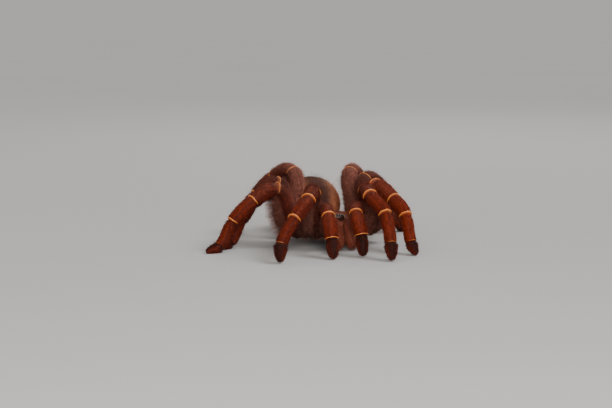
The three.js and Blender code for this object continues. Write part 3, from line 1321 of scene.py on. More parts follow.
SKIN = HairFinish(
    "skin under the coat", "leg_coat", LEGS, bare=True, regions=(UNDER, HEAD, FACE, BELLY)
)
LEG_COAT = HairFinish("rust leg coat", "leg_coat", LEGS)
SHIELD_COAT = HairFinish("golden shield coat", "shield_coat", HEAD)
JAW_COAT = HairFinish("streaked jaw coat", "jaw_coat", FACE)
ABDOMEN_COAT = HairFinish(
    "cinnamon abdomen coat", "abdomen_coat", BELLY, roughness=0.65, sheen=0.0
)
UNDER_COAT = HairFinish("dark under coat", "under_coat", UNDER)
RIM = HornFinish(
    "pale joint rim", "leg_coat", srgb(255, 102, 20), srgb(255, 186, 84), roughness=0.34, coat=0.25
)
MOUND = HornFinish(
    "dark eye mound", "eye_gloss", srgb(34, 17, 13), srgb(70, 36, 26), roughness=0.42, coat=0.1
)
BLACK_EYE = HornFinish(
    "wet black eye", "eye_gloss", srgb(6, 5, 6), srgb(16, 11, 11), roughness=0.06, coat=1.0
)
# Pale pearly side eyes; their light colour also stands in for the eyes' glint, a painted highlight.
PEARLY_EYE_AND_GLINT = HornFinish(
    "pearly side eye", "eye_gloss", srgb(146, 128, 98), srgb(206, 190, 156), roughness=0.1, coat=1.0
)
FANG_HORN = HornFinish(
    "fang horn", "fang_horn", srgb(18, 9, 8), srgb(52, 20, 13), roughness=0.2, coat=0.6
)


def finish_piece(piece: bpy.types.Object, finish: Finish, stands_for: Sequence[str] = ()) -> None:
    """Dresses a piece, ties it to the body and reports it.

    Args:
        piece: The finished object.
        finish: What it wears.
        stands_for: CAD nodes that it replaces.
    """
    piece.data.materials.clear()
    piece.data.materials.append(finish.material())
    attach(piece, BODY)
    if stands_for:
        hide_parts(*stands_for)
    log.info("%s: %d faces", piece.name, len(piece.data.polygons))


# --- Coat ---


@dataclass(frozen=True)
class HairShape:
    """One hair of unit length, kept apart as spine and section so that each scales alone.

    Attributes:
        spine: Where each vertex's section sits: along, across, up.
        section: Each vertex's offset from the spine, for a unit radius.
        triangles: The faces.
    """

    spine: Array
    section: Array
    triangles: Array

    @classmethod
    def bent(cls, cuts: Sequence[float], rise: float) -> "HairShape":
        """A three-sided blade that rises and then lies down.

        Args:
            cuts: Places of the extra rings.
            rise: Height of the tip over a unit length.

        Returns:
            The hair.
        """
        mesh = bmesh.new()
        bmesh.ops.create_cone(mesh, cap_ends=True, segments=3, radius1=1.0, radius2=0.0, depth=1.0)
        bmesh.ops.remove_doubles(mesh, verts=mesh.verts, dist=1e-5)
        for cut in cuts:
            whole = [*mesh.verts, *mesh.edges, *mesh.faces]
            place = (0, 0, cut - 0.5)
            bmesh.ops.bisect_plane(mesh, geom=whole, plane_co=place, plane_no=(0, 0, 1))
        bmesh.ops.triangulate(mesh, faces=mesh.faces)
        bmesh.ops.recalc_face_normals(mesh, faces=mesh.faces)
        mesh.verts.index_update()
        rest = np.array([v.co for v in mesh.verts])
        triangles = np.array([[v.index for v in f.verts] for f in mesh.faces])
        mesh.free()
        along = rest[:, 2] + 0.5
        left = np.clip(1.0 - along, 0.0, 1.0)
        fuller = np.where(along < 0.999, np.sqrt(left) / np.maximum(left, 1e-3), 1.0)
        none = np.zeros_like(along)
        spine = np.stack([along, none, rise * (1.0 - (1.0 - along) ** 1.8)], axis=1)
        section = np.stack([none, rest[:, 1] * fuller, rest[:, 0] * fuller * 0.6], axis=1)
        return cls(spine, section, triangles)


@dataclass(frozen=True)
class Tuft:
    """A few hairs that share a root.

    Attributes:
        spine: As in HairShape.
        section: As in HairShape.
        spread: Each vertex's share of the tuft's width, for a unit spread.
        triangles: The faces.
    """

    spine: Array
    section: Array
    spread: Array
    triangles: Array

    @classmethod
    def fanned(cls, hair: HairShape, count: int, fan: float, rng: np.random.Generator) -> "Tuft":
        """Several hairs fanned out from one root.

        Args:
            hair: The hair that is repeated.
            count: How many hairs.
            fan: Spread of their headings in degrees.
            rng: The seeded source of chance.

        Returns:
            The tuft.
        """
        spines, sections, spreads, faces = [], [], [], []
        for k in range(count):
            turn = math.radians(rng.normal(0.0, fan))
            length = 1.0 if k == 0 else rng.uniform(0.65, 1.0)
            tilt = rng.uniform(0.75, 1.3)
            cos, sin = math.cos(turn), math.sin(turn)
            matrix = np.array([[cos, sin, 0], [-sin, cos, 0], [0, 0, 1]])
            spines.append((hair.spine * np.array([length, length, length * tilt])) @ matrix)
            sections.append(hair.section @ matrix)
            root = rng.uniform(-1.0, 1.0, 2) if k else np.zeros(2)
            spreads.append(np.tile([*root, 0.0], (len(hair.spine), 1)))
            faces.append(hair.triangles + k * len(hair.spine))
        return cls(*(np.vstack(rows) for rows in (spines, sections, spreads, faces)))


@dataclass(frozen=True)
class Roots:
    """Where hairs stand: one row for each tuft.

    Attributes:
        place: The root points.
        normal: Outward directions.
        lie: Directions along the surface in which the coat lies.
        map: The roots' places on the unwrapped skin.
        marks: Tone, pale and bloom at the roots.
    """

    place: Array
    normal: Array
    lie: Array
    map: Array
    marks: Marks

    def only(self, keep: Array) -> "Roots":
        """The roots picked by a mask."""
        marks = {name: values[keep] for name, values in self.marks.items()}
        return Roots(self.place[keep], self.normal[keep], self.lie[keep], self.map[keep], marks)

    def mapped(self, scale: Sequence[float], shift: Sequence[float]) -> "Roots":
        """The same roots with their places on the unwrapped skin scaled and moved."""
        moved = self.map * np.array(scale) + np.array(shift)
        return Roots(self.place, self.normal, self.lie, moved, self.marks)


def scatter(surface: Surface, per_mm2: float, seed: int) -> tuple[Array, Array]:
    """Even places on a surface, thinned where a row is narrower than its widest place.

    Args:
        surface: The surface function.
        per_mm2: Places for each square millimetre.
        seed: Starting point of the even sequence, and seed of the jitter.

    Returns:
        Places along and places around.
    """
    row_count, columns, spare, jitter = 60, 36, 1.02, 0.3
    ratio_along, ratio_around = 0.7548776662, 0.5698402910

    def stretch(a: Array, b: Array) -> Array:
        """The surface's area for each unit of place along and around.

        Args:
            a: Places along.
            b: Places around.

        Returns:
            The areas.
        """
        step = 1e-4
        along = surface(np.clip(a + step, 0, 1), b) - surface(np.clip(a - step, 0, 1), b)
        around = surface(a, b + step) - surface(a, b - step)
        return np.linalg.norm(np.cross(along, around), axis=1) / (4 * step * step)

    rows = np.linspace(0.002, 0.998, row_count)
    a = np.repeat(rows, columns)
    b = np.tile(np.arange(columns) / columns, row_count)
    widest = stretch(a, b).reshape(row_count, columns).max(axis=1) * spare
    strips = (widest[1:] + widest[:-1]) / 2.0 * np.diff(rows)
    area = np.concatenate([[0.0], np.cumsum(strips)])
    count = int(per_mm2 * area[-1] / MM**2)
    index = np.arange(count) + seed * 0.37
    rng = np.random.default_rng(seed)
    loose = rng.normal(0.0, jitter / math.sqrt(max(count, 1)), (2, count))
    share = np.clip((0.5 + index * ratio_along) % 1.0 + loose[0], 0.0, 1.0)
    a = np.interp(share, area / area[-1], rows)
    b = (0.5 + index * ratio_around + loose[1]) % 1.0
    keep = rng.random(count) * np.interp(a, rows, widest) < stretch(a, b)
    return a[keep], b[keep]


def roots_on(
    surface: Surface,
    per_mm2: float,
    seed: int,
    marks: Marking,
    lie: Optional[Callable[[Array], Array]] = None,
) -> Roots:
    """Roots on a surface.

    Args:
        surface: The surface function.
        per_mm2: Tufts for each square millimetre.
        seed: Seed of their places.
        marks: Gives the markings for places along and around.
        lie: Gives the coat's direction at points; it follows the surface's length if left out.

    Returns:
        The roots.
    """
    a, b = scatter(surface, per_mm2, seed)
    step = 1e-3
    place = surface(a, b)
    along = unit(surface(np.clip(a + step, 0, 1), b) - surface(np.clip(a - step, 0, 1), b))
    around = unit(surface(a, b + step) - surface(a, b - step))
    normal = unit(np.cross(along, around))
    middle = surface(a, (b + 0.5) % 1.0)
    normal *= np.sign(((place - middle) * normal).sum(axis=1, keepdims=True))
    flow = along if lie is None else lie(place)
    flow = unit(flow - (flow * normal).sum(axis=1, keepdims=True) * normal)
    return Roots(place, normal, flow, np.stack([a, b], axis=1), marks(a, b))


@dataclass(frozen=True)
class HairSpec:
    """How the hairs of one layer stand.

    Attributes:
        length_mm: Length of the longest hairs.
        radius_mm: Half their width.
        spread_mm: How far a tuft's roots reach.
        lift: Extra angle over the skin in degrees.
        scatter: Spread of headings in degrees.
        glow: How much lighter the tips are than the roots.
        uneven: Spread of the tufts' brightness.
    """

    length_mm: float
    radius_mm: float
    spread_mm: float
    lift: float = 0.0
    scatter: float = 9.0
    glow: float = 0.75
    uneven: float = 0.18


@dataclass
class CoatPiece:
    """One piece of the coat, gathered layer by layer.

    Attributes:
        name: The piece's name.
        seed: Its seed.
        patch: Size of a tuft's patch on the OFBake map.
        vertices: The layers' points.
        triangles: Their faces.
        maps: Their places on the OFBake map.
        values: Their markings.
        total: How many points there are so far.
    """

    name: str
    seed: int
    patch: float = 0.003
    vertices: list[Array] = field(default_factory=list)
    triangles: list[Array] = field(default_factory=list)
    maps: list[Array] = field(default_factory=list)
    values: dict[str, list[Array]] = field(default_factory=lambda: {k: [] for k in MARKS})
    total: int = 0

    def add(
        self, roots: Roots, tufts: Sequence[Tuft], spec: HairSpec, stretch: Array | float = 1.0
    ) -> None:
        """Adds a layer of tufts.

        Args:
            roots: Where they stand.
            tufts: The tufts to choose from.
            spec: How they stand.
            stretch: Length of each tuft as a share of the layer's length.
        """
        rng = np.random.default_rng(self.seed + self.total)
        count = len(roots.place)
        choice = rng.integers(0, len(tufts), count)
        turn = np.radians(rng.normal(0.0, spec.scatter, count))[:, None]
        lift = np.radians(spec.lift + rng.normal(0.0, spec.scatter * 0.35, count))[:, None]
        length = spec.length_mm * MM * rng.uniform(0.8, 1.12, count) * stretch
        shade = rng.normal(1.0, spec.uneven, count)
        side = np.cross(roots.normal, roots.lie)
        ahead = np.cos(turn) * roots.lie + np.sin(turn) * side
        side = np.cross(roots.normal, ahead)
        rise = np.cos(lift) * roots.normal - np.sin(lift) * ahead
        ahead = np.cos(lift) * ahead + np.sin(lift) * roots.normal
        for kind, tuft in enumerate(tufts):
            here = np.flatnonzero(choice == kind)
            if not len(here):
                continue
            basis = np.stack([ahead[here], side[here], rise[here]], axis=1)
            local = (
                length[here][:, None, None] * tuft.spine
                + spec.radius_mm * MM * tuft.section
                + spec.spread_mm * MM * tuft.spread
            )
            depth = ROOT_DEPTH * roots.normal[here][:, None, :]
            points = roots.place[here][:, None, :] - depth + local @ basis
            over = np.maximum(points[..., 2] - CEILING, 0.0)
            points[..., 2] += HEADROOM * (1.0 - np.exp(-over / HEADROOM)) - over
            points[..., 2] = np.maximum(points[..., 2], HAIR_SOLE)
            size = len(tuft.spine)
            first = self.total + np.arange(len(here))[:, None, None] * size
            self.vertices.append(points.reshape(-1, 3))
            self.triangles.append((first + tuft.triangles).reshape(-1, 3))
            along = tuft.spine[:, 0]
            across = tuft.section[:, 1] * 0.5 + tuft.spread[:, 1] * 0.5
            local_map = np.stack([along - 0.5, across * 0.5 / np.abs(across).max()], axis=1)
            spots = 0.01 + 0.98 * roots.map[here][:, None, :]
            self.maps.append((spots + self.patch * local_map).reshape(-1, 2))
            gradient = np.maximum(1.0 + spec.glow * (np.clip(along, 0, 1) - 0.55), 0.3)
            self.values["shade"].append((shade[here][:, None] * gradient).ravel())
            for name, values in roots.marks.items():
                self.values[name].append(np.repeat(values[here], size))
            self.total += len(here) * size

    def build(self) -> bpy.types.Object:
        """Makes the piece's object with its markings and its OFBake map."""
        points = np.vstack(self.vertices).astype(np.float32)
        faces = np.vstack(self.triangles).astype(np.int32)
        data = bpy.data.meshes.new(self.name)
        data.vertices.add(len(points))
        data.vertices.foreach_set("co", points.ravel())
        data.loops.add(faces.size)
        data.loops.foreach_set("vertex_index", faces.ravel())
        data.polygons.add(len(faces))
        data.polygons.foreach_set("loop_start", np.arange(0, faces.size, 3, dtype=np.int32))
        data.update(calc_edges=True)
        data.polygons.foreach_set("use_smooth", np.ones(len(faces), bool))
        layer = data.uv_layers.new(name="OFBake")
        places = np.vstack(self.maps)[faces.ravel()]
        layer.uv.foreach_set("vector", places.astype(np.float32).ravel())
        for name, values in self.values.items():
            set_value(data, name, np.concatenate(values))
        return link_object(self.name, data)


# --- The animal ---

LEG = (
    Segment.COXA, Segment.FEMUR, Segment.PATELLA, Segment.TIBIA, Segment.METATARSUS, Segment.TARSUS,
)
PALP = (*LEG[:4], Segment.PALM)
# The left eyes: direction from the mound's middle, and radius in mm.
EYES = (
    (0.33, -0.62, 0.62, 0.6), (0.78, -0.55, 0.24, 0.52), (0.55, 0.1, 0.78, 0.3),
    (0.86, 0.22, 0.4, 0.42),
)
# How bright the skin is, next to the middle of a hair.
SKIN_SHADE = 0.62


def plain_marks(tone: float, pale: float = 0.0, bloom: float = 0.0) -> Marking:
    """Markings that only change softly over a surface, round the given values.

    Args:
        tone: Middle tone.
        pale: Pale value.
        bloom: Bloom value.

    Returns:
        The function that gives them.
    """

    def marks(along: Array, around: Array) -> Marks:
        """The markings at places.

        Args:
            along: Places along.
            around: Places around.

        Returns:
            The markings.
        """
        angle = around * math.tau
        wave = 0.08 * np.sin(along * 17.0 + 3.0 * np.sin(angle)) + 0.05 * np.sin(angle * 9)
        full = np.full(len(along), 1.0)
        return {"tone": np.clip(tone + wave, 0, 1), "pale": pale * full, "bloom": bloom * full}

    return marks


def shield_marks(along: Array, around: Array) -> Marks:
    """Golden brown, black round the eyes and palest just behind them.

    Args:
        along: Places along.
        around: Places around.

    Returns:
        The markings.
    """
    brow = TRUNK.place([0.0, -14.4, 14.6])
    away = np.linalg.norm(SHIELD.surface(along, around) - brow, axis=1) / MM
    dark = 1.0 - smooth_step(2.1, 2.9, away)
    glow = smooth_step(2.6, 3.6, away) * (1.0 - smooth_step(5.0, 9.0, away))
    wave = 0.08 * np.sin(along * 17.0 + 3.0 * np.sin(around * math.tau))
    tone = (0.6 + 0.25 * glow + wave) * (1.0 - dark)
    return {"tone": np.clip(tone, 0, 1), "pale": 0.0 * dark, "bloom": 0.12 * (1.0 - dark)}


def jaw_marks(along: Array, around: Array) -> Marks:
    """Soft streaks down the jaws, lighter over the fangs.

    Args:
        along: Places along.
        around: Places around.

    Returns:
        The markings.
    """
    angle = around * math.tau
    streak = 0.13 * np.sin(angle * 8 + 2 * np.sin(along * 5)) + 0.07 * np.sin(angle * 13)
    tone = 0.46 + streak + 0.16 * smooth_step(0.75, 0.95, along)
    return {"tone": np.clip(tone, 0, 1), "pale": 0.05 + 0 * along, "bloom": 0.08 + 0 * along}


def abdomen_marks(along: Array, around: Array) -> Marks:
    """Cinnamon velvet with painted shade on the back, dark below, with four pale plates in front.

    Args:
        along: Places along.
        around: Places around.

    Returns:
        The markings.
    """
    angle = around * math.tau
    up = np.sin(angle)
    wave = 0.06 * np.sin(along * 13.0 + around * 9.0) + 0.05 * np.sin(angle * 7 + along * 5)
    tone = 0.3 + 0.56 * smooth_step(-0.5, 0.5, up) + wave
    # The dark back is painted shade, laid on with the belly palette's dark last colour.
    bloom = 0.05 + 0.88 * smooth_step(0.56, 1.0, up + 0.06 * np.sin(along * 11.0))
    width = 0.035
    plates = sum(
        np.exp(-(((along - spot) / width) ** 2) - (((around % 1.0) - turn) / width) ** 2)
        for spot in (0.2, 0.38)
        for turn in (0.67, 0.83)
    )
    return {"tone": np.clip(tone, 0, 1), "pale": np.clip(plates, 0, 0.8), "bloom": bloom}


def outward_from_pit(points: Array) -> Array:
    """The lie of the shield's hairs: out from its pit and a little backwards.

    Args:
        points: Roots of the hairs.

    Returns:
        Their directions.
    """
    away = points - TRUNK.place([0.0, SHIELD.pit_y, 13.0])
    away[:, 2] = 0.0
    return unit(away) + np.array([0.0, 0.15, 0.0])


def backward(points: Array) -> Array:
    """The lie of the abdomen's hairs: backwards and a little down."""
    return np.tile([0.0, 1.0, -0.25], (len(points), 1))


@dataclass
class Tarantula:
    """The whole animal.

    Attributes:
        limb_names: The limbs' names and segments.
        limbs: The measured limbs.
        buried: The fused skin, which tells free roots from buried ones.
        hairs: The kinds of tuft by name.
    """

    limb_names: tuple[tuple[str, tuple[Segment, ...]], ...] = (
        *((f"leg_{side}{pair}", LEG) for side in "LR" for pair in "1234"),
        *((f"palp_{side}", PALP) for side in "LR"),
    )
    limbs: list[Limb] = field(default_factory=list)
    buried: Optional[BVHTree] = None
    hairs: dict[str, list[Tuft]] = field(default_factory=dict)

    def prepare(self) -> None:
        """Measures the limbs and makes the shared tufts."""
        self.limbs = [Limb(name, segments) for name, segments in self.limb_names]
        rng = np.random.default_rng(7)
        lock, straight = HairShape.bent((0.4,), 0.3), HairShape.bent((), 0.35)
        long_hair = HairShape.bent((0.3, 0.65), 0.22)
        kinds = (
            ("lock", lock, 4, 9.0, 8), ("bristle", long_hair, 1, 0.0, 4),
            ("wisp", long_hair, 3, 11.0, 6), ("pile", lock, 3, 12.0, 8),
            ("down", straight, 7, 13.0, 10),
        )
        for kind, hair, count, fan, choices in kinds:
            self.hairs[kind] = [Tuft.fanned(hair, count, fan, rng) for _ in range(choices)]

    def build_skin(self) -> None:
        """Fuses limbs and trunk into one skin that replaces the flesh nodes."""
        parts = [loft.skin() for loft in (SHIELD, STERNUM, ABDOMEN, PEDICEL, *JAWS)]
        parts += [SPINNERET.mesh(side) for side in LEFT_AND_RIGHT]
        parts += [limb.skin() for limb in self.limbs]
        base, *others = shells = [to_object("shell", [part]) for part in parts]
        for other in others:
            union = base.modifiers.new("fuse", "BOOLEAN")
            union.operation, union.solver, union.object = "UNION", "MANIFOLD", other
        bpy.context.view_layer.update()
        evaluated = base.evaluated_get(bpy.context.evaluated_depsgraph_get())
        data = bpy.data.meshes.new_from_object(evaluated)
        for shell in shells:
            bpy.data.objects.remove(shell)
        data.name = "skin"
        data.polygons.foreach_set("use_smooth", [True] * len(data.polygons))
        corners = corners_of(data)
        known, marks = self._known_marks()
        tree = KDTree(len(known))
        for index, point in enumerate(known):
            tree.insert(point, index)
        tree.balance()
        nearest = [tree.find(corner)[1] for corner in corners]
        for name, values in marks.items():
            set_value(data, name, values[nearest])
        flesh = [limb.node(s) for limb in self.limbs for s in limb.segments[1:]]
        flesh += ["carapace", "sternum_and_hips", "abdomen"]
        flesh += [f"{part}_{side}" for part in ("chelicera", "spinneret") for side in "LR"]
        finish_piece(link_object("skin", data), SKIN, flesh)
        self.buried = BVHTree.FromPolygons([Vector(c) for c in corners], triangles_of(data))

    def _known_marks(self) -> tuple[Array, Marks]:
        """Sample points over all skins with their markings and their palette's number."""
        samples: list[tuple[Array, Marks]] = []
        for limb in self.limbs:
            walk, around = grid(limb.walk_places(), limb.sides)
            marks = {**limb.markings(walk, around), "region": (walk < 1.0).astype(float)}
            samples.append((limb.shell(walk, around), marks))
        spinneret_marks = plain_marks(0.35, 0.0, 0.2)
        trunk: list[tuple[Surface, Marking, float]] = [
            (SHIELD.surface, shield_marks, 2.0),
            (STERNUM.surface, plain_marks(0.16), 1.0),
            (ABDOMEN.surface, abdomen_marks, 4.0),
            (PEDICEL.surface, plain_marks(0.2), 1.0),
            *((jaw.surface, jaw_marks, 3.0) for jaw in JAWS),
            *((SPINNERET.surface(side), spinneret_marks, 4.0) for side in LEFT_AND_RIGHT),
        ]
        along, around = grid(np.linspace(0, 1, 60), 60)
        for surface, given, region in trunk:
            marks = {**given(along, around), "region": np.full(len(along), region)}
            samples.append((surface(along, around), marks))
        places = np.vstack([place for place, _ in samples])
        joined = {name: np.concatenate([marks[name] for _, marks in samples]) for name in marks}
        return places, {**joined, "shade": np.full(len(places), SKIN_SHADE)}

    def roots(
        self,
        surface: Surface,
        per_mm2: float,
        seed: int,
        marks: Marking,
        lie: Optional[Callable[[Array], Array]] = None,
    ) -> Roots:
        """The roots that stand on the fused skin and not inside it.

        Args:
            surface: As in roots_on.
            per_mm2: As in roots_on.
            seed: As in roots_on.
            marks: As in roots_on.
            lie: As in roots_on.

        Returns:
            The roots on the outside.
        """
        found = roots_on(surface, per_mm2, seed, marks, lie)
        keep = [self.buried.find_nearest(Vector(p))[3] < ROOT_DEPTH for p in found.place]
        return found.only(np.array(keep, bool))

    def build_limb_coat(self, limb: Limb, number: int) -> None:
        """The coat of one limb.

        Args:
            limb: The limb.
            number: Its number, which seeds the scatter.
        """
        coat = CoatPiece(f"coat_{limb.name}", 1000 + number)
        size = 0.85 if limb.segments[-1] is Segment.PALM else 1.0
        share = 1.0 / (len(limb.arcs) - 1)
        for k, segment in enumerate(limb.segments[1:], 1):
            shape, length_mm, seed = SHAPES[segment], limb.arcs[k].length() / MM, number * 10 + k
            surface, marks = limb.part(k)
            strip = (share, 1.0), ((k - 1) * share, 0.0)
            foot = segment.is_foot()
            upper = segment in (Segment.FEMUR, Segment.PATELLA) and limb.is_rear()
            density = 2.6 if foot else (2.0 if upper else 1.5)
            roots = self.roots(surface, density, seed, marks)
            to_rim = (1.0 - roots.map[:, 0]) * length_mm
            if foot:
                room = 0.5 + 0.5 * smooth_step(0.0, 2.5, to_rim)
                spec = HairSpec(shape.hair_mm * size, 0.07, 0.26, lift=3.0, scatter=9.0)
            else:
                dorsal = np.sin(roots.map[:, 1] * math.tau)
                bare_from = 0.6 + 0.12 * smooth_step(-0.3, 0.4, dorsal)
                room = np.clip((to_rim - bare_from + 0.3) / (shape.hair_mm * 0.95), 0.0, 1.0)
                roots, room = roots.only(room > 0.16), room[room > 0.16]
                spec = HairSpec(shape.hair_mm * size, 0.085, 0.34, scatter=7.0)
                if upper:
                    reach = shape.hair_mm * size * 1.05
                    spec = HairSpec(reach, 0.055, 0.5, lift=8.0, scatter=12.0, glow=0.9)
            coat.add(roots.mapped(*strip), self.hairs["down" if upper else "lock"], spec, room)
            roots = self.roots(surface, 0.45 if limb.is_rear() else 0.2, seed + 500, marks)
            roots = roots.only((1.0 - roots.map[:, 0]) * length_mm > 1.6).mapped(*strip)
            spec = HairSpec(shape.bristle_mm * size, 0.035, 0.0, lift=26.0, scatter=12.0, glow=0.9)
            coat.add(roots, self.hairs["bristle"], spec)
            if segment is Segment.FEMUR:
                roots = self.roots(surface, 1.8, seed + 900, marks)
                roots = roots.only(np.sin(roots.map[:, 1] * math.tau) < -0.4).mapped(*strip)
                spec = HairSpec(6.0 * size, 0.042, 0.5, lift=64.0, scatter=15.0, glow=2.0)
                coat.add(roots, self.hairs["wisp"], spec)
        finish_piece(coat.build(), LEG_COAT)

    def build_shield_coat(self) -> None:
        """Short golden hairs that run out from the shield's pit."""
        coat = CoatPiece("coat_shield", 2001)
        roots = self.roots(SHIELD.surface, 2.0, 31, shield_marks, outward_from_pit)
        off = (roots.place - TRUNK.place([0.0, -13.4, 15.2])) * np.array([1.0, 1.2, 1.0])
        free = (roots.place[:, 2] > 10.0 * MM) & (np.linalg.norm(off, axis=1) > 2.9 * MM)
        spec = HairSpec(1.9, 0.075, 0.3, scatter=12.0, uneven=0.14)
        coat.add(roots.only(free), self.hairs["lock"], spec)
        self._coat_mound(coat)
        roots = self.roots(SHIELD.surface, 0.22, 32, plain_marks(0.7, 0.1, 0.1), outward_from_pit)
        roots = roots.only(roots.place[:, 2] > 10.5 * MM)
        coat.add(roots, self.hairs["bristle"], HairSpec(3.0, 0.04, 0.0, lift=24.0, scatter=20.0))
        finish_piece(coat.build(), SHIELD_COAT)

    def _coat_mound(self, coat: CoatPiece) -> None:
        """Adds short dark hairs between the eyes, mapped to the shield's bare underside.

        Args:
            coat: The shield's coat, which takes them.
        """
        low, high = (np.array(corner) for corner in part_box("eye_mound"))
        centre, half = (low + high) / 2.0, (high - low) / 2.0

        def mound(along: Array, around: Array) -> Array:
            """Points of the mound, from its top down.

            Args:
                along: Places along.
                around: Places around.

            Returns:
                The points.
            """
            polar, angle = along * math.pi, around * math.tau
            flat = np.sin(polar)
            out = np.stack([flat * np.cos(angle), flat * np.sin(angle), np.cos(polar)], axis=1)
            return centre + out * half * np.array([0.98, 0.98, 0.86])

        roots = roots_on(mound, 5.0, 33, plain_marks(0.45))
        out = unit((roots.place - centre) / half)
        free = out[:, 2] > -0.1
        for x, y, z, radius in EYES:
            for side in LEFT_AND_RIGHT:
                eye = unit(np.array([[side * x, y, z]]))
                free &= np.linalg.norm((out - eye) * half, axis=1) > (radius + 0.12) * MM
        roots = roots.only(free).mapped((0.1, 0.1), (0.45, 0.7))
        coat.add(roots, self.hairs["lock"], HairSpec(1.0, 0.035, 0.1, lift=20.0, scatter=24.0))

    def build_jaw_coat(self) -> None:
        """Streaked hair down the jaws, longest over the fangs."""
        coat = CoatPiece("coat_jaws", 2101)
        down = HairSpec(2.0, 0.05, 0.45, lift=-4.0, scatter=7.0, glow=0.35, uneven=0.08)
        for number, jaw in enumerate(JAWS):
            strip = (1.0, 0.48), (0.0, 0.5 * number)
            roots = self.roots(jaw.surface, 2.2, 41 + number, jaw_marks).mapped(*strip)
            stretch = 0.8 + 0.5 * smooth_step(0.6, 0.9, roots.map[:, 0])
            coat.add(roots, self.hairs["down"], down, stretch)
            roots = self.roots(jaw.surface, 0.25, 51 + number, jaw_marks).mapped(*strip)
            spec = HairSpec(2.8, 0.04, 0.0, lift=20.0, scatter=14.0)
            coat.add(roots, self.hairs["bristle"], spec)
        finish_piece(coat.build(), JAW_COAT)

    def build_abdomen_coat(self) -> None:
        """Dense velvet with long soft hairs standing out of it."""
        coat = CoatPiece("coat_abdomen", 2201)
        down = HairSpec(2.5, 0.05, 0.55, lift=-7.0, scatter=10.0, glow=0.3, uneven=0.07)
        long_hair = HairSpec(4.6, 0.045, 0.0, lift=30.0, scatter=18.0, glow=1.0)
        layers = ("down", down, 1.75, 61), ("bristle", long_hair, 0.24, 62)
        for kind, spec, density, seed in layers:
            roots = self.roots(ABDOMEN.surface, density, seed, abdomen_marks, backward)
            coat.add(roots.mapped((0.85, 1.0), (0.0, 0.0)), self.hairs[kind], spec)
        for number, side in enumerate(LEFT_AND_RIGHT):
            tail = self.roots(SPINNERET.surface(side), 3.0, 63, plain_marks(0.35, 0.0, 0.2))
            tail = tail.mapped((0.13, 0.48), (0.86, 0.5 * number))
            coat.add(tail, self.hairs["pile"], HairSpec(0.9, 0.06, 0.2, scatter=10.0))
        finish_piece(coat.build(), ABDOMEN_COAT)

    def build_under_coat(self) -> None:
        """Dark hair on the breast plate, the hips and the waist."""
        coat = CoatPiece("coat_underside", 2301)
        roots = self.roots(STERNUM.surface, 1.4, 71, plain_marks(0.16))
        roots = roots.mapped((0.4, 1.0), (0.0, 0.0))
        coat.add(roots, self.hairs["lock"], HairSpec(1.5, 0.075, 0.3, scatter=12.0))
        for number, limb in enumerate(self.limbs):
            surface, marks = limb.part(0, 0.06, 0.995)
            hips = self.roots(surface, 0.75, 80 + number, marks)
            hips = hips.mapped((0.58, 0.098), (0.42, 0.1 * number))
            coat.add(hips, self.hairs["lock"], HairSpec(2.2, 0.1, 0.4, scatter=10.0))
        finish_piece(coat.build(), UNDER_COAT)

    def build_rims(self) -> None:
        """The bare pale lips on the joints of all limbs."""
        rims = [rim for limb in self.limbs for rim in limb.rims()]
        finish_piece(to_object("joint_rims", rims), RIM)

    def build_horn(self) -> None:
        """The fangs and the claws."""
        fangs = to_object("fangs", [FANG.mesh(side) for side in LEFT_AND_RIGHT])
        finish_piece(fangs, FANG_HORN, ["fang_L", "fang_R"])
        claws = to_object("claws", [claw for limb in self.limbs for claw in limb.claws()])
        finish_piece(claws, FANG_HORN)

    def build_face(self) -> None:
        """The eye mound with black middle eyes and pearly side eyes, pale partly as a painted
        glint.
        """
        low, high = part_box("eye_mound")
        centre, half = (low + high) / 2.0, (high - low) / 2.0
        seat = centre - Vector((0, 0, 0.1 * MM))
        mound = ball(seat, (half.x * 0.98, half.y * 0.98, half.z * 0.9), Matrix.Identity(3), 40)
        finish_piece(to_object("eye_mound_skin", [mound]), MOUND, ["eye_mound"])
        eyes = []
        for x, y, z, radius in EYES:
            long = 1.0 if radius > 0.58 else 1.3
            for side in LEFT_AND_RIGHT:
                out = Vector((side * x, y, z)).normalized()
                off = Vector((out.x * half.x * 0.93, out.y * half.y * 0.93, out.z * half.z * 0.84))
                size = (radius * MM, radius * long * MM, radius * 0.66 * MM)
                turn = out.to_track_quat("Z", "Y").to_matrix()
                eyes.append(ball(centre + off, size, turn, 20))
        finish_piece(to_object("middle_eyes", eyes[:2]), BLACK_EYE)
        finish_piece(to_object("side_eyes", eyes[2:]), PEARLY_EYE_AND_GLINT)

    def build(self) -> None:
        """Builds every piece in order."""
        self.prepare()
        self.build_skin()
        self.build_rims()
        self.build_face()
        self.build_horn()
        for number, limb in enumerate(self.limbs):
            self.build_limb_coat(limb, number)
        self.build_shield_coat()
        self.build_jaw_coat()
        self.build_abdomen_coat()
        self.build_under_coat()


# --- Stage ---


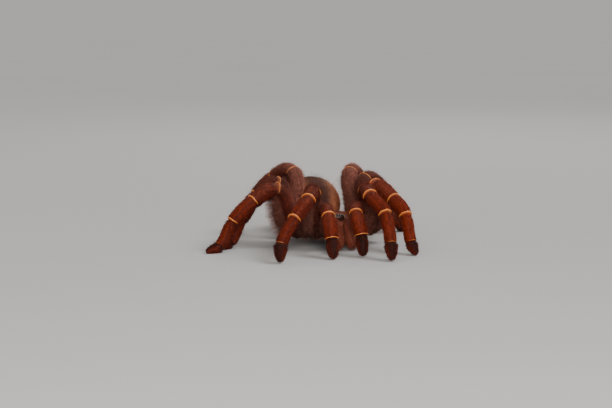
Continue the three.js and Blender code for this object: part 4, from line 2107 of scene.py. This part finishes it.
@dataclass(frozen=True)
class Studio:
    """Floor, light and camera.

    Attributes:
        azimuth: Camera bearing round the animal in degrees, 0 being straight ahead of it.
        elevation: Camera height over the horizon in degrees.
        shift_mm: How far the view is moved to the right and up from the trunk's middle.
        distance_mm: Camera distance.
        scale: Picture units for each millimetre at that distance.
        image_width: Width of the picture in those units.
        sun: Strength of the top light.
        sun_height: Its height in degrees.
    """

    azimuth: float = -15.0
    elevation: float = 8.0
    shift_mm: tuple[float, float] = (-13.0, 19.8)
    distance_mm: float = 680.0
    scale: float = 1.97
    image_width: int = 612
    sun: float = 1.75
    sun_height: float = 52.0

    def axes(self, azimuth: float, elevation: float) -> tuple[Vector, Vector, Vector]:
        """Right, up and backward directions of a view.

        Args:
            azimuth: Bearing in degrees.
            elevation: Height in degrees.

        Returns:
            The three directions.
        """
        a, e = math.radians(azimuth), math.radians(elevation)
        back = Vector((math.sin(a) * math.cos(e), -math.cos(a) * math.cos(e), math.sin(e)))
        right = Vector((math.cos(a), math.sin(a), 0.0))
        return right, back.cross(right), back

    def stand(
        self, name: str, data: bpy.types.ID, axes: tuple[Vector, Vector, Vector], spot: Vector
    ) -> bpy.types.Object:
        """Puts a camera or a lamp in the scene.

        Args:
            name: Its name.
            data: Its data.
            axes: Its right, up and backward directions.
            spot: Its place.

        Returns:
            Its object.
        """
        made = link_object(name, data)
        made.matrix_world = Matrix.Translation(spot) @ Matrix(axes).transposed().to_4x4()
        return made

    def camera(self) -> None:
        """Sets the camera at the viewing angle and framing."""
        axes = right, up, back = self.axes(self.azimuth, self.elevation)
        data = bpy.data.cameras.new("camera")
        data.sensor_width = 36.0
        data.lens = self.scale * self.distance_mm / self.image_width * data.sensor_width
        data.clip_start = 0.01
        away = back * self.distance_mm + right * self.shift_mm[0] + up * self.shift_mm[1]
        spot = Vector(TRUNK.origin) + away * MM
        bpy.context.scene.camera = self.stand("camera", data, axes, spot)

    def lamp(self, name: str, bearing: tuple[float, float], distance: float, power: float) -> None:
        """Adds a soft lamp that looks at the animal: a sun at the top, or else a square.

        Args:
            name: The lamp's name.
            bearing: Its azimuth and elevation in degrees.
            distance: Its distance.
            power: Its strength.
        """
        axes = self.axes(*bearing)
        data = bpy.data.lights.new(name, "SUN" if name == "top" else "AREA")
        data.energy = power
        if data.type == "SUN":
            data.angle = math.radians(28.0)
        else:
            data.shape, data.size = "SQUARE", 0.24
        lamp = self.stand(name, data, axes, Vector((0, 0, 0.015)) + axes[2] * distance)
        lamp.visible_camera = False

    def floor(self, tints: tuple[Colour, Colour]) -> None:
        """Makes the pale floor, cloudy between two tints.

        Args:
            tints: The two tints.
        """
        ground = bmesh.new()
        bmesh.ops.create_circle(ground, cap_ends=True, cap_tris=True, segments=96, radius=12.0)
        floor = to_object("floor", [ground], smooth=False)
        pale = bpy.data.materials.new("pale floor")
        pale.use_nodes = True
        g = Graph(pale.node_tree)
        colour = g.mix(g.noise(g.place(), 3.0), *tints)
        values = {"Base Color": colour, "Roughness": 0.8, "Specular IOR Level": 0.0}
        g.feed(pale.node_tree.nodes["Principled BSDF"], values)
        floor.data.materials.append(pale)

    def sky(self, tints: tuple[Colour, Colour]) -> None:
        """Makes the sky that lets the far floor run into it without a line.

        Args:
            tints: The floor's two tints.
        """
        world = bpy.data.worlds.new("studio")
        world.use_nodes = True
        share = self.sun * math.sin(math.radians(self.sun_height)) / math.pi
        tone = [(low + high) / 2.0 for low, high in zip(*tints)]
        colour = (*(c * share / (1.0 - c) for c in tone[:3]), 1.0)
        g = Graph(world.node_tree)
        g.feed(world.node_tree.nodes["Background"], {"Color": colour, "Strength": 1.0})
        bpy.context.scene.world = world

    def build(self) -> None:
        """Makes floor, lamps, sky and camera."""
        tints = srgb(188, 186, 184), srgb(194, 192, 190)
        self.floor(tints)
        self.lamp("top", (62.0, self.sun_height), 2.0, self.sun)
        self.lamp("front", (-12.0, 18.0), 0.75, 3.0)
        self.lamp("rear", (150.0, 40.0), 0.9, 1.2)
        self.sky(tints)
        self.camera()


def main() -> None:
    """Builds the animal and the studio."""
    Tarantula().build()
    Studio().build()


if __name__ == "__main__":
    main()
